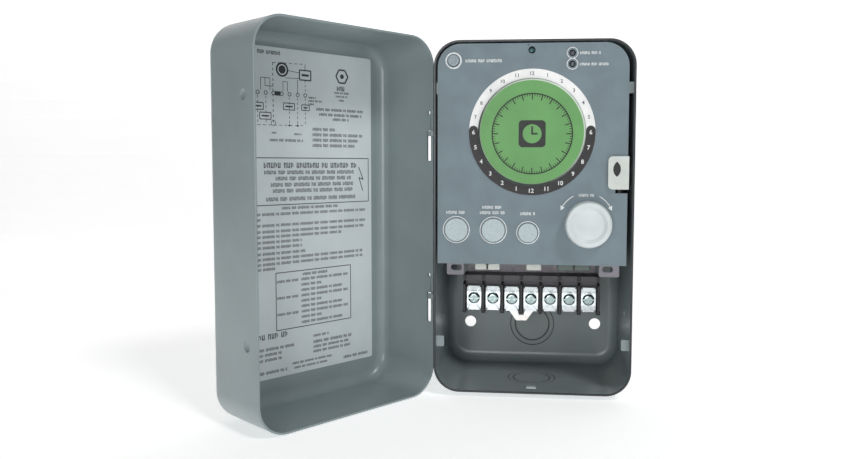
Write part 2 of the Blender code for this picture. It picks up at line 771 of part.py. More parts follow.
def slide_latch(mats):
    """Slide latch: finger plate, rib through the panel notch and rear flange."""
    outline = rounded_rect(LATCH_X0, LATCH_X1, LATCH_Z0, LATCH_Z1, LATCH_CORNER_R, 5)
    square = [(x, z) for x, z in outline if x < (LATCH_X0 + LATCH_X1) / 2]
    plate_outline = [(LATCH_X1, LATCH_Z0), (LATCH_X1, LATCH_Z1)] + square
    plate_back = FACE_Y - GAP
    plate = prism_y(plate_outline, LATCH_FRONT_Y, plate_back)
    rib_x0 = LATCH_SLOT_X0 + LATCH_RIB_CLEAR
    rib_x1 = PANEL_X1 - LATCH_EDGE_CLEAR
    flange_front = FACE_Y + FACE_T + GAP
    flange_back = flange_front + LATCH_FLANGE_T
    rib = box(rib_x0, rib_x1, plate_back - GAP, flange_back, LATCH_RIB_Z0, LATCH_RIB_Z1)
    flange = box(rib_x0 - LATCH_FLANGE_EXTRA, rib_x1, flange_front, flange_back,
                 LATCH_RIB_Z0, LATCH_RIB_Z1)
    plate = add(plate, [rib, flange])
    steps = 24
    oval = [(LATCH_GRIP_X + LATCH_GRIP_HALF_W * cos(2 * pi * i / steps),
             LATCH_GRIP_Z + LATCH_GRIP_HALF_H * sin(2 * pi * i / steps))
            for i in range(steps)]
    grip = prism_y(oval, LATCH_FRONT_Y - PAST, LATCH_FRONT_Y + LATCH_GRIP_D)
    plate = cut(plate, [grip])
    origin = (LATCH_X0, FACE_Y, LATCH_Z0)
    make_object("panel_latch", plate, mats["latch_plastic"], origin, smooth=True)


def module_housing(mats):
    """Rear tray of the control module, open at the bottom, on four legs."""
    floor_back = HOUSING_FLOOR_Y + HOUSING_FLOOR_T
    front = FACE_Y + FACE_T + GAP
    t = HOUSING_T
    low = HOUSING_Z0 - HOUSING_R
    outer = rounded_rect(HOUSING_X0, HOUSING_X1, low, HOUSING_Z1, HOUSING_R)
    outer = [(HOUSING_X0, HOUSING_Z0), (HOUSING_X1, HOUSING_Z0)] + [
        (x, z) for x, z in outer if z > HOUSING_Z0]
    inner = rounded_rect(HOUSING_X0 + t, HOUSING_X1 - t, low, HOUSING_Z1 - t, HOUSING_R - t)
    inner = [(HOUSING_X0 + t, low), (HOUSING_X1 - t, low)] + [
        (x, z) for x, z in inner if z > HOUSING_Z0]
    tray = prism_y(outer, front, floor_back)
    tray = cut(tray, [prism_y(inner, front - PAST, HOUSING_FLOOR_Y)])
    extras = [box(TONGUE_X0, TONGUE_X1, HOUSING_FLOOR_Y, floor_back,
                  MAIN_BOARD_Z0, HOUSING_Z0 + PAST)]
    for x in (-LEG_X, LEG_X):
        for z in LEG_Z:
            extras.append(cylinder_y(x, z, LEG_R, floor_back - 0.5, -SHEET - GAP, 20))
    extras.append(cylinder_y(HOLE_X, HOLE_Z, PANEL_BOSS_R, front, front + PANEL_BOSS_L, 20))
    tray = add(tray, extras)
    window = box(HOUSING_X1 - WINDOW_W, HOUSING_X1 + PAST, front - PAST, front + WINDOW_D,
                 WINDOW_Z0, WINDOW_Z1)
    relief = [cylinder_y(x, z, radius + 2 * FLANGE_EXTRA, front - PAST, CONTROL_BOARD_Y)
              for name, x, z, radius in BUTTONS[:2]]
    relief.append(cylinder_y(HOLE_X, HOLE_Z, PANEL_SCREW_SHANK_R + GAP, front - PAST,
                             front + PANEL_BORE_L, 16))
    tray = cut(tray, [window] + relief)
    make_object("module_housing", tray, mats["housing_plastic"], smooth=True)


def boards(mats):
    """Control board behind the face and main board on the housing floor."""
    outline = rounded_rect(BOARD_X0, BOARD_X1, BOARD_Z0, BOARD_Z1, BOARD_CORNER_R, 4)
    board = prism_y(outline, CONTROL_BOARD_Y, CONTROL_BOARD_Y + BOARD_T)
    make_object("control_board", board, mats["board_green"])
    board = prism_y(outline, MAIN_BOARD_Y, MAIN_BOARD_Y + BOARD_T)
    tongue = box(TONGUE_X0, TONGUE_X1, MAIN_BOARD_Y, MAIN_BOARD_Y + BOARD_T,
                 MAIN_BOARD_Z0, TONGUE_TOP_Z)
    board = add(board, [tongue])
    make_object("main_board", board, mats["board_pale"])


def terminal_x(index):
    """Centre of one terminal, counted from the left."""
    return BLOCK_X + (index - (TERMINALS - 1) / 2) * PITCH


def terminal_block(mats):
    """Moulded block with barriers between the terminals and a hole for each screw."""
    half = TERMINALS * PITCH / 2 + BARRIER_T / 2
    block = box(BLOCK_X - half, BLOCK_X + half, BLOCK_FRONT_Y, BLOCK_BACK_Y,
                BLOCK_Z0, BLOCK_Z1)
    fins = []
    for i in range(TERMINALS + 1):
        x = BLOCK_X + (i - TERMINALS / 2) * PITCH
        fins.append(box(x - BARRIER_T / 2, x + BARRIER_T / 2, BARRIER_FRONT_Y,
                        BLOCK_FRONT_Y + 2.0, BARRIER_Z0, BARRIER_Z1))
    block = add(block, fins)
    holes = [cylinder_y(terminal_x(i), TERMINAL_Z, SCREW_SHANK_R + GAP,
                        BLOCK_FRONT_Y - PAST, BLOCK_FRONT_Y + SCREW_LEN - GAP, 16)
             for i in range(TERMINALS)]
    block = cut(block, holes)
    make_object("terminal_block", block, mats["block_plastic"])


def link_room(index):
    """Extra stand-off of a plate that also clamps the link."""
    return LINK_T + GAP if index in LINKED else 0.0


def terminal_hardware(mats):
    """Clamping plates with turned-up ends, and their screws."""
    for i in range(TERMINALS):
        x = terminal_x(i)
        back = BLOCK_FRONT_Y - GAP - link_room(i)
        front = back - PLATE_T
        z0 = TERMINAL_Z - PLATE_H / 2
        z1 = TERMINAL_Z + PLATE_H / 2
        side = (
            (back, z0 + PLATE_BEND),
            (back - PLATE_WING, z0),
            (front - PLATE_WING, z0),
            (front, z0 + PLATE_BEND),
            (front, z1 - PLATE_BEND),
            (front - PLATE_WING, z1),
            (back - PLATE_WING, z1),
            (back, z1 - PLATE_BEND),
        )
        plate = bmesh.new()
        left = [plate.verts.new((x - PLATE_W / 2, y, z)) for y, z in side]
        right = [plate.verts.new((x + PLATE_W / 2, y, z)) for y, z in side]
        bridge(plate, left, right)
        plate.faces.new(left)
        plate.faces.new(list(reversed(right)))
        hole = cylinder_y(x, TERMINAL_Z, SCREW_SHANK_R + GAP, front - PAST, back + PAST, 16)
        plate = cut(plate, [hole])
        make_object("terminal_plate_%d" % (i + 1), plate, mats["plated_steel"])
        head_back = front - 0.1
        head_front = head_back - SCREW_HEAD_H
        tip = BLOCK_FRONT_Y + SCREW_LEN - PAST
        profile = (
            (0.0, head_front),
            (SCREW_HEAD_R - SCREW_EDGE, head_front),
            (SCREW_HEAD_R - 0.25 * SCREW_EDGE, head_front + 0.7 * SCREW_EDGE),
            (SCREW_HEAD_R, head_front + 2 * SCREW_EDGE),
            (SCREW_HEAD_R, head_back),
            (SCREW_SHANK_R, head_back),
            (SCREW_SHANK_R, tip),
            (0.0, tip),
        )
        screw = turned_y(profile, x, TERMINAL_Z, 20)
        long = SCREW_HEAD_R + PAST
        tall = SCREW_CROSS_HALF
        wide = SCREW_SLOT_W / 2
        deep = head_front + SCREW_SLOT_D
        slots = [
            box(x - long, x + long, head_front - PAST, deep, TERMINAL_Z - wide, TERMINAL_Z + wide),
            box(x - wide, x + wide, head_front - PAST, deep, TERMINAL_Z - tall, TERMINAL_Z + tall),
        ]
        screw = cut(screw, slots)
        make_object("terminal_screw_%d" % (i + 1), screw, mats["plated_steel"], smooth=True)


def terminal_link(mats):
    """Flat U-shaped link under the plates of the third and fourth terminals."""
    a, b = [terminal_x(index) for index in LINKED]
    mid = (a + b) / 2
    arm = LINK_ARM_HALF_W
    tip = LINK_TIP_HALF_W
    notch = LINK_NOTCH_HALF_W
    outline = [
        (a - arm, LINK_TOP_Z), (a - arm, LINK_SHOULDER_Z),
        (mid - tip, LINK_TIP_Z), (mid + tip, LINK_TIP_Z),
        (b + arm, LINK_SHOULDER_Z), (b + arm, LINK_TOP_Z),
        (b - arm, LINK_TOP_Z), (b - arm, LINK_SHOULDER_Z),
        (mid + notch, LINK_NOTCH_Z), (mid - notch, LINK_NOTCH_Z),
        (a + arm, LINK_SHOULDER_Z), (a + arm, LINK_TOP_Z),
    ]
    back = BLOCK_FRONT_Y - GAP
    link = prism_y(outline, back - LINK_T, back)
    link = cut(link, [cylinder_y(x, TERMINAL_Z, SCREW_SHANK_R + GAP, back - LINK_T - PAST,
                                 back + PAST, 16)
                      for x in (a, b)])
    make_object("terminal_link", link, mats["tinned_brass"])


def boxed(size, back):
    """Rectangular component on the main board, from its x range, front and z range."""
    x0, x1, front, z0, z1 = size
    return box(x0, x1, front, back, z0, z1)


def main_board_parts(mats):
    """Relays, transformer and capacitors carried by the main board."""
    back = MAIN_BOARD_Y - GAP
    board_back = CONTROL_BOARD_Y + BOARD_T + GAP
    make_object("relay_1", boxed(RELAY_1, back), mats["relay_white"])
    make_object("relay_2", boxed(RELAY_2, back), mats["relay_grey"])
    make_object("film_capacitor", boxed(FILM_CAPACITOR, back), mats["relay_white"])
    core = box(-CORE_X, CORE_X, CORE_Y[0], CORE_Y[1], CORE_Z[0], CORE_Z[1])
    inner = CORE_X - CORE_LIMB_W
    core = cut(core, [box(-inner, inner, CORE_Y[0] - PAST, CORE_Y[1] + PAST,
                          CORE_Z[0] + CORE_YOKE_H, CORE_Z[1] - CORE_YOKE_H)])
    make_object("transformer_core", core, mats["core_steel"])
    outline = rounded_rect(-COIL_HALF_W, COIL_HALF_W, COIL_Z[0], COIL_Z[1], COIL_R, 4)
    coil = prism_y(outline, COIL_FRONT_Y, back)
    make_object("transformer_coil", coil, mats["coil_tape"], smooth=True)
    can = cylinder_y(CAN_X, CAN_Z, CAN_R, CAN_FRONT_Y, back, 24)
    make_object("smoothing_capacitor", can, mats["switch_black"], smooth=True)
    cell = cylinder_y(CELL_X, CELL_Z, CELL_R, board_back, CELL_BACK_Y, 32)
    make_object("backup_cell", cell, mats["plated_steel"], smooth=True)
    lead = box(-CONNECTOR_HALF_W, CONNECTOR_HALF_W, board_back, back,
               CONNECTOR_Z[0], CONNECTOR_Z[1])
    make_object("board_connector", lead, mats["switch_black"])


def main():
    """Build every part."""
    start_scene()
    mats = {
        "grey_paint": material("grey_paint", (0.26, 0.31, 0.32), 0.0, 0.45),
        "label_paper": material("label_paper", (0.55, 0.60, 0.62), 0.0, 0.8),
        "panel_plastic": material("panel_plastic", (0.20, 0.26, 0.29), 0.0, 0.5),
        "housing_plastic": material("housing_plastic", (0.16, 0.19, 0.20), 0.0, 0.6),
        "scale_print": material("scale_print", (0.75, 0.77, 0.76), 0.0, 0.6),
        "display_green": material("display_green", (0.17, 0.45, 0.16), 0.0, 0.35),
        "button_plastic": material("button_plastic", (0.45, 0.52, 0.50), 0.0, 0.45),
        "knob_plastic": material("knob_plastic", (0.72, 0.76, 0.75), 0.0, 0.4),
        "latch_plastic": material("latch_plastic", (0.70, 0.74, 0.70), 0.0, 0.45),
        "lamp_lens": material("lamp_lens", (0.07, 0.08, 0.10), 0.0, 0.2),
        "switch_black": material("switch_black", (0.02, 0.02, 0.02), 0.0, 0.5),
        "board_green": material("board_green", (0.03, 0.13, 0.06), 0.0, 0.5),
        "board_pale": material("board_pale", (0.37, 0.34, 0.39), 0.0, 0.5),
        "block_plastic": material("block_plastic", (0.07, 0.08, 0.08), 0.0, 0.5),
        "screw_dark": material("screw_dark", (0.05, 0.09, 0.09), 0.7, 0.35),
        "plated_steel": material("plated_steel", (0.70, 0.71, 0.72), 1.0, 0.25),
        "tinned_brass": material("tinned_brass", (0.80, 0.78, 0.70), 1.0, 0.3),
        "relay_white": material("relay_white", (0.72, 0.73, 0.70), 0.0, 0.5),
        "relay_grey": material("relay_grey", (0.35, 0.37, 0.38), 0.0, 0.5),
        "core_steel": material("core_steel", (0.30, 0.30, 0.31), 0.8, 0.5),
        "coil_tape": material("coil_tape", (0.55, 0.45, 0.10), 0.0, 0.5),
    }
    base_enclosure(mats)
    knockouts(mats)
    cover(mats)
    cover_label(mats)
    face_panel(mats)
    panel_screw(mats)
    dial(mats)
    push_buttons(mats)
    status_lamps(mats)
    adjust_knob(mats)
    slide_latch(mats)
    module_housing(mats)
    boards(mats)
    terminal_block(mats)
    terminal_hardware(mats)
    terminal_link(mats)
    main_board_parts(mats)


main()
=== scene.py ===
"""Looks of a wall-mounted enclosed 24-hour electronic time control.

Frame: metres, +X right, +Z up, the front faces -Y, origin in the middle of the flat back.
Shapes are drawn in millimetres and become metres when a piece is made.  Whatever rides
on the cover is drawn with the cover closed and then swung open about its hinge.
"""
import json
from math import cos, pi, radians, sin

import bmesh
import bpy
from mathutils import Matrix, Vector


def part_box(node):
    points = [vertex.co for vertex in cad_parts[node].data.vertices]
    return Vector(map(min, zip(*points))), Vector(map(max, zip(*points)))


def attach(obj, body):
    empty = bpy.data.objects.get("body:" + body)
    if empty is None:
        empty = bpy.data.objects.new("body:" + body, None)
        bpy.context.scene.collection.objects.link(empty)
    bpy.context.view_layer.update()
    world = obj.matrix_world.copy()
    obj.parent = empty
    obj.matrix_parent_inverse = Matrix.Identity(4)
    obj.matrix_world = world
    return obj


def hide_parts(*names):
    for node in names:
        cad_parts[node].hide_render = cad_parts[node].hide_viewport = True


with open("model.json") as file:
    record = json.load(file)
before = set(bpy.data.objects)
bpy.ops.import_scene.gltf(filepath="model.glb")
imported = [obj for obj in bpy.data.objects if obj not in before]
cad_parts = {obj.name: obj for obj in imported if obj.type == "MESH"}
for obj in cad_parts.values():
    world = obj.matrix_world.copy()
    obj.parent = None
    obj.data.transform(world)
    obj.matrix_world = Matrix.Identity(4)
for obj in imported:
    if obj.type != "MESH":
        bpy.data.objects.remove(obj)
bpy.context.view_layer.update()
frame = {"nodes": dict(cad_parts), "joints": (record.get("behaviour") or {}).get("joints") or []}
MM = 0.001
WELD = 0.0005
PAST = 1.0  # how far a cutting shape runs past the wall it cuts
ROD_L = 6.0
SHARP_DEG = 35.0


def span(node):
    """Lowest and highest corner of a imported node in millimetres."""
    low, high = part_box(node)
    return Vector(low) / MM, Vector(high) / MM


def disc_of(node):
    """Centre x, centre z, radius, front y and back y of a round node."""
    low, high = span(node)
    return (low.x + high.x) / 2, (low.z + high.z) / 2, (high.x - low.x) / 2, low.y, high.y


# Sheet metal, in millimetres
SHEET = 1.2
PAN_EDGE_R = 7.2
PAN_EDGE_STEPS = 10
PAN_CORNER_STEPS = 16
RIM_ROUND = 0.35
RIM_ANGLES = (0.0, 30.0, 60.0, 90.0)
EDGE_BREAK = 0.14

# Base pan
BASE_LOW, BASE_HIGH = span("base_enclosure")
HALF_W = BASE_HIGH.x
HALF_H = BASE_HIGH.z
DEPTH = -BASE_LOW.y
BASE_CORNER_R = 14.5
MOUNT_HOLES = ((-40.3, -72.7), (40.3, -72.7), (0.0, 73.0))
MOUNT_HOLE_R = 3.6
BACK_KNOCKOUT = (0.0, 0.0, -73.3)
BOTTOM_KNOCKOUT = (0.0, -41.0, -HALF_H)
KNOCKOUT_HOLE_R = 14.3
KNOCKOUT_STEPS = 128
SHEAR = 0.6
SHEAR_Y = (0.35, 0.65)
LATCH_SLOT = 5.5
LATCH_SLOT_Y = -61.8
SIDE_HOLE_R = 2.0
SIDE_HOLE_Y = -43.0
SIDE_HOLE_Z = -57.5
TAB_REACH = 4.5
TAB_H = 6.2
TAB_Y = -69.6
TAB_Z = (72.6, -70.3)
TAB_CORNER_R = 0.9

# Cover and its hinge
HINGE_JOINT = next(joint for joint in frame["joints"] if joint["name"] == "cover_hinge")
HINGE_X = HINGE_JOINT["pos_m"][0] / MM
HINGE_Y = HINGE_JOINT["pos_m"][1] / MM
OPEN_DEG = HINGE_JOINT["range_deg"][1]
COVER_CLEAR = 0.8
COVER_D = 45.0
COVER_LAP = 7.0
COVER_X = HALF_W + COVER_CLEAR + SHEET
COVER_Z = HALF_H + COVER_CLEAR + SHEET
COVER_IN_X = COVER_X - SHEET
COVER_CORNER_R = BASE_CORNER_R + COVER_CLEAR + SHEET
COVER_RIM_Y = -DEPTH + COVER_LAP
STRIP_W = 1.5
SLOT_W = 3.4
SLOT_H = 17.0
SLOT_Z = (40.9, -51.7)
PIN_HOLE_R = 1.1
PIN_HOLE_RISE = 18.7
PIN_HOLE_IN = 3.2
STRIP_CLEAR = 0.8
STRIP_IN = (5.6, 1.7)
HOOK_IN_R = 1.6
HOOK_OUT_R = 2.8
HOOK_H = 2.8
HOOK_RISE = 6.75
HOOK_DEG = (-20.0, -200.0)
HOOK_STEPS = 28
DIMPLE_Z = (63.1, -56.6)
DIMPLE_IN = 9.4
DIMPLE_R = 2.5
DENT_R = 2.8
DIMPLE_RISE = 1.2
DIMPLE_STEPS = 9

# Label, given by the distance from the hinge line
LABEL_NEAR = 9.8
LABEL_FAR = 97.0
LABEL_Z = (-86.0, 92.3)
LABEL_CORNER_R = 1.5
LABEL_T = 0.2
LABEL_Y = COVER_RIM_Y - COVER_D + SHEET + 0.05
LABEL_INK_Y = (LABEL_Y + LABEL_T - 0.01, LABEL_Y + LABEL_T + 0.05)

# Face panel
PANEL_LOW, PANEL_HIGH = span("face_panel")
FACE_Y = PANEL_LOW.y
PANEL_BACK = PANEL_HIGH.y
PANEL_CUT_Y = (FACE_Y - PAST, PANEL_BACK + PAST)
PANEL_INK_Y = (FACE_Y - 0.05, FACE_Y + 0.02)
PANEL_EDGE_Z = -25.4
PANEL_R = 13.0
LUGS = ((-48.1, -38.3), (36.8, 48.0))
LUG_SLOTS = ((-45.7, -39.6), (38.8, 44.4))
LUG_SLOT_Z = (-29.1, -26.0)
BUTTON_FLANGE = 0.9
BUTTON_NAMES = ("manual", "set", "program", "clear")
LAMPS = ("status_lamp_1", "status_lamp_2")
FLANGE_Y = PANEL_BACK + 0.3

# Terminals
TERMINALS = 7
BLOCK_LOW, BLOCK_HIGH = span("terminal_block")
BARRIER_T = 1.3
PITCH = (BLOCK_HIGH.x - BLOCK_LOW.x - BARRIER_T) / TERMINALS
BLOCK_X = (BLOCK_LOW.x + BLOCK_HIGH.x) / 2
BLOCK_FRONT_Y = -43.0

# Stage, with the lights' place and size in metres and power in watts
FLOOR_GAP = 0.6
FLOOR_FRONT = -1500.0
FLOOR_BACK = 900.0
FLOOR_SWEEP_R = 400.0
FLOOR_TOP = 1600.0
FLOOR_HALF_W = 2200.0
FLOOR_GLOW = 0.5
SURROUNDINGS = 0.15
WHITE = (1.0, 1.0, 1.0, 1.0)
LIGHT_AIM = (0.0, -0.04, 0.0)
LIGHTS = (
    ("key", (0.8, -1.0, 1.3), 0.35, 10.0),
    ("fill", (-0.2, -1.5, 0.12), 0.5, 5.2),
)

# Camera
CAMERA_AT = (1.7507, -501.076, 31.4725)
CAMERA_YAW = -0.0962050
CAMERA_PITCH = 0.0671829
CAMERA_ROLL = 0.0029805
CAMERA_LENS = 32.00994
CAMERA_SENSOR = 36.0
CAMERA_SHIFT = (-0.032414, -0.017541)


# Outlines
def arc(cx, cz, radius, first, last, steps):
    """Points along an arc, both ends included; angles in degrees."""
    angles = [radians(first + (last - first) * i / steps) for i in range(steps + 1)]
    return [(cx + radius * cos(a), cz + radius * sin(a)) for a in angles]


def rounded_rect(x0, x1, z0, z1, radius, steps=10):
    """Rectangle with rounded corners, counter-clockwise."""
    corners = ((x1 - radius, z0 + radius), (x1 - radius, z1 - radius),
               (x0 + radius, z1 - radius), (x0 + radius, z0 + radius))
    points = []
    for i, (cx, cz) in enumerate(corners):
        points += arc(cx, cz, radius, 90.0 * i - 90.0, 90.0 * i, steps)
    return points


def circle(cx, cz, radius, steps=96):
    """Full circle."""
    return arc(cx, cz, radius, 0.0, 360.0, steps)[:-1]


def sector(cx, cz, outer, inner, first, last, steps=48):
    """Curved strip between two radii."""
    return arc(cx, cz, outer, first, last, steps) + arc(cx, cz, inner, last, first, steps)


def rectangle(x0, x1, z0, z1):
    """Plain rectangle."""
    return [(x0, z0), (x1, z0), (x1, z1), (x0, z1)]


def stroke(x0, z0, x1, z1, width):
    """Rectangle along the line between two points."""
    along = Vector((x1 - x0, z1 - z0)).normalized()
    sx, sz = -along.y * width / 2, along.x * width / 2
    return [(x0 + sx, z0 + sz), (x0 - sx, z0 - sz), (x1 - sx, z1 - sz), (x1 + sx, z1 + sz)]


# Solids
AXIS_ORDER = {"X": (2, 0, 1), "Y": (0, 2, 1), "Z": (0, 1, 2)}
AXIS_TURN = {
    "X": Matrix.Rotation(radians(-90.0), 4, "Z"), "Y": Matrix.Identity(4),
    "back": Matrix.Rotation(pi, 4, "Z"), "Z": Matrix.Rotation(radians(90.0), 4, "X"),
}


def bridge(bm, first, second):
    """Band of quads between two rings of vertices."""
    count = len(first)
    for i in range(count):
        j = (i + 1) % count
        bm.faces.new((first[i], first[j], second[j], second[i]))


def pull(bm, outline, low, high, axis="Y"):
    """Add the solid that an outline sweeps along an axis."""
    rings = []
    for level in (low, high):
        points = [(a, b, level) for a, b in outline]
        rings.append([bm.verts.new([p[k] for k in AXIS_ORDER[axis]]) for p in points])
    bridge(bm, *rings)
    bm.faces.new(rings[0])
    bm.faces.new(rings[1][::-1])
    return bm


def prism(outline, low, high, axis="Y"):
    """New solid that an outline sweeps along an axis."""
    return pull(bmesh.new(), outline, low, high, axis)


def block(x0, x1, y0, y1, z0, z1):
    """New rectangular solid."""
    return prism(rectangle(x0, x1, z0, z1), y0, y1)


def turned(profile, cx, cz, steps=96, bm=None):
    """Solid of revolution about a Y line, new or added; profile is (radius, y) pairs.

    A profile that starts and ends on the axis is closed there; any other profile is a
    closed loop.
    """
    if bm is None:
        bm = bmesh.new()
    rings = []
    for radius, y in profile:
        points = circle(cx, cz, radius, steps) if radius else [(cx, cz)]
        rings.append([bm.verts.new((x, y, z)) for x, z in points])
    pairs = list(zip(rings, rings[1:]))
    if profile[0][0] > 0.0:
        pairs.append((rings[-1], rings[0]))
    for first, second in pairs:
        if len(first) == len(second):
            bridge(bm, first, second)
            continue
        for i in range(steps):
            j = (i + 1) % steps
            if len(first) == 1:
                bm.faces.new((first[0], second[i], second[j]))
            else:
                bm.faces.new((first[i], second[0], first[j]))
    return bm


def quarter(radius, y, edge, steps=5):
    """Profile points that round the front edge of a turned piece, from its face outward."""
    angles = [radians(90.0 * i / steps) for i in range(steps + 1)]
    return [(radius - edge + edge * sin(a), y + edge * (1.0 - cos(a))) for a in angles]


def discard(obj):
    """Remove an object together with its mesh or curve."""
    data = obj.data
    bpy.data.objects.remove(obj, do_unlink=True)
    if isinstance(data, bpy.types.Mesh):
        bpy.data.meshes.remove(data)
    else:
        bpy.data.curves.remove(data)


def shown(name, data):
    """New object in the scene."""
    obj = bpy.data.objects.new(name, data)
    bpy.context.scene.collection.objects.link(obj)
    return obj


def poured(name, bm):
    """New mesh that takes over a bmesh."""
    mesh = bpy.data.meshes.new(name)
    bm.to_mesh(mesh)
    bm.free()
    return mesh


def combine(body, tools, operation):
    """Add or cut solids with the exact solver; all are bmeshes."""
    objects = []
    for bm in [body] + tools:
        bmesh.ops.recalc_face_normals(bm, faces=bm.faces)
        objects.append(shown("work", poured("work", bm)))
    work = objects[0]
    for helper in objects[1:]:
        modifier = work.modifiers.new("step", "BOOLEAN")
        modifier.operation = operation
        modifier.solver = "EXACT"
        modifier.object = helper
    bpy.context.view_layer.update()
    final = work.evaluated_get(bpy.context.evaluated_depsgraph_get())
    result = bmesh.new()
    result.from_mesh(final.to_mesh())
    final.to_mesh_clear()
    for obj in objects[::-1]:
        discard(obj)
    bmesh.ops.remove_doubles(result, verts=result.verts, dist=WELD)
    return result


def add(body, tools):
    """Fuse solids to a body."""
    return combine(body, tools, "UNION")


def cut(body, tools):
    """Cut solids from a body."""
    return combine(body, tools, "DIFFERENCE")


def gather(target, part):
    """Move a finished solid into a larger bmesh."""
    mesh = poured("part", part)
    target.from_mesh(mesh)
    bpy.data.meshes.remove(mesh)


def lay(bm, axis, centre):
    """Lay a piece that was turned about Y along an axis, at a point."""
    bmesh.ops.transform(bm, matrix=AXIS_TURN[axis], verts=bm.verts)
    bmesh.ops.translate(bm, verts=bm.verts, vec=centre)
    return bm


def rod(axis, centre, radius, steps=48):
    """Cylinder about a centre point, for a hole through one sheet."""
    return lay(prism(circle(0.0, 0.0, radius, steps), -ROD_L / 2, ROD_L / 2), axis, centre)


def swing_open(bm):
    """Turn closed-cover geometry to the open pose."""
    pivot = Vector((HINGE_X, HINGE_Y, 0.0))
    turn = Matrix.Rotation(radians(-OPEN_DEG), 4, "Z")
    about = Matrix.Translation(pivot) @ turn @ Matrix.Translation(-pivot)
    bmesh.ops.transform(bm, matrix=about, verts=bm.verts)


def piece(name, bm, mat, body, nodes=(), bevel=0.0, segments=2, sharp=SHARP_DEG):
    """Make the object, soften its edges and tie it to its body and material slot."""
    if body == "cover":
        swing_open(bm)
    bmesh.ops.remove_doubles(bm, verts=bm.verts, dist=WELD)
    bmesh.ops.recalc_face_normals(bm, faces=bm.faces)
    bmesh.ops.scale(bm, verts=bm.verts, vec=(MM, MM, MM))
    mesh = poured(name, bm)
    for poly in mesh.polygons:
        poly.use_smooth = True
    mesh.set_sharp_from_angle(angle=radians(sharp))
    mesh.materials.append(mat)
    obj = shown(name, mesh)
    if bevel > 0.0:
        soften = obj.modifiers.new("soften", "BEVEL")
        soften.width = bevel * MM
        soften.segments = segments
        soften.limit_method = "ANGLE"
        soften.angle_limit = radians(sharp)
    normals = obj.modifiers.new("normals", "WEIGHTED_NORMAL")
    normals.keep_sharp = True
    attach(obj, body)
    if nodes:
        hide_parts(*nodes)
    return obj


# Materials
def tone(red, green, blue):
    """Linear colour from display values between 0 and 255."""
    def linear(value):
        value /= 255.0
        return value / 12.92 if value <= 0.04045 else ((value + 0.055) / 1.055) ** 2.4
    return linear(red), linear(green), linear(blue)


def shade(colour, factor):
    """Same colour, lighter or darker."""
    return tuple(min(1.0, channel * factor) for channel in colour)


class Finish:
    """Principled material whose colour, gloss and relief come from noise textures."""

    def __init__(self, name, metallic=0.0, coat=0.0, coat_rough=0.1, specular=0.5):
        self.mat = bpy.data.materials.new(name)
        self.mat.use_nodes = True
        self.nodes = self.mat.node_tree.nodes
        self.links = self.mat.node_tree.links
        self.shader = self.nodes["Principled BSDF"]
        for socket, value in (("Metallic", metallic), ("Coat Weight", coat),
                              ("Coat Roughness", coat_rough), ("Specular IOR Level", specular)):
            self.shader.inputs[socket].default_value = value
        self.place = self.nodes.new("ShaderNodeTexCoord").outputs["Object"]
        self.tint = None
        self.height = None

    def node(self, kind, **values):
        """New node of a kind, with values for its inputs."""
        made = self.nodes.new("ShaderNode" + kind)
        for socket, value in values.items():
            made.inputs[socket.replace("_", " ")].default_value = value
        return made

    def noise(self, size_mm, detail=4.0, stretch=None):
        """Noise whose features are about size_mm across."""
        texture = self.node("TexNoise", Scale=1000.0 / size_mm, Detail=detail)
        source = self.place
        if stretch:
            mapping = self.node("Mapping", Scale=stretch)
            self.links.new(self.place, mapping.inputs["Vector"])
            source = mapping.outputs["Vector"]
        self.links.new(source, texture.inputs["Vector"])
        return texture.outputs["Fac"]

    def cells(self, size_mm):
        """Random value for each small cell."""
        texture = self.node("TexVoronoi", Scale=1000.0 / size_mm)
        self.links.new(self.place, texture.inputs["Vector"])
        return texture.outputs["Distance"]

    def colour(self, dark, light, source, low=0.35, high=0.65):
        """Colour that runs between two tones."""
        ramp = self.node("ValToRGB")
        for stop, place, value in zip(ramp.color_ramp.elements, (low, high), (dark, light)):
            stop.position = place
            stop.color = (*value, 1.0)
        self.links.new(source, ramp.inputs["Fac"])
        self.paint(ramp.outputs["Color"])

    def paint(self, tint):
        """Take a colour output as the base colour."""
        self.tint = tint
        self.links.new(tint, self.shader.inputs["Base Color"])

    def fade(self, axis, start_mm, end_mm, colour, turn_deg=0.0):
        """Run the colour into another one along an object axis, turned about Y."""
        mapping = self.node("Mapping", Rotation=(0.0, radians(turn_deg), 0.0))
        self.links.new(self.place, mapping.inputs["Vector"])
        parts = self.node("SeparateXYZ")
        self.links.new(mapping.outputs["Vector"], parts.inputs["Vector"])
        spread = self.node("MapRange", From_Min=start_mm * MM, From_Max=end_mm * MM)
        self.links.new(parts.outputs[axis], spread.inputs["Value"])
        blend = self.node("Mix")
        blend.data_type = "RGBA"
        first, second = [s for s in blend.inputs if s.type == "RGBA"]
        self.links.new(spread.outputs["Result"], blend.inputs["Factor"])
        self.links.new(self.tint, first)
        second.default_value = (*colour, 1.0)
        self.paint(next(s for s in blend.outputs if s.type == "RGBA"))

    def gloss(self, low, high, source):
        """Roughness that runs between two values."""
        spread = self.node("MapRange", To_Min=low, To_Max=high)
        self.links.new(source, spread.inputs["Value"])
        self.links.new(spread.outputs["Result"], self.shader.inputs["Roughness"])

    def relief(self, source, depth_mm, strength=1.0):
        """Fine bump of a real depth; a second call adds to the first."""
        bump = self.node("Bump", Distance=depth_mm * MM, Strength=strength)
        self.links.new(source, bump.inputs["Height"])
        if self.height:
            self.links.new(self.height, bump.inputs["Normal"])
        self.height = bump.outputs["Normal"]
        self.links.new(self.height, self.shader.inputs["Normal"])


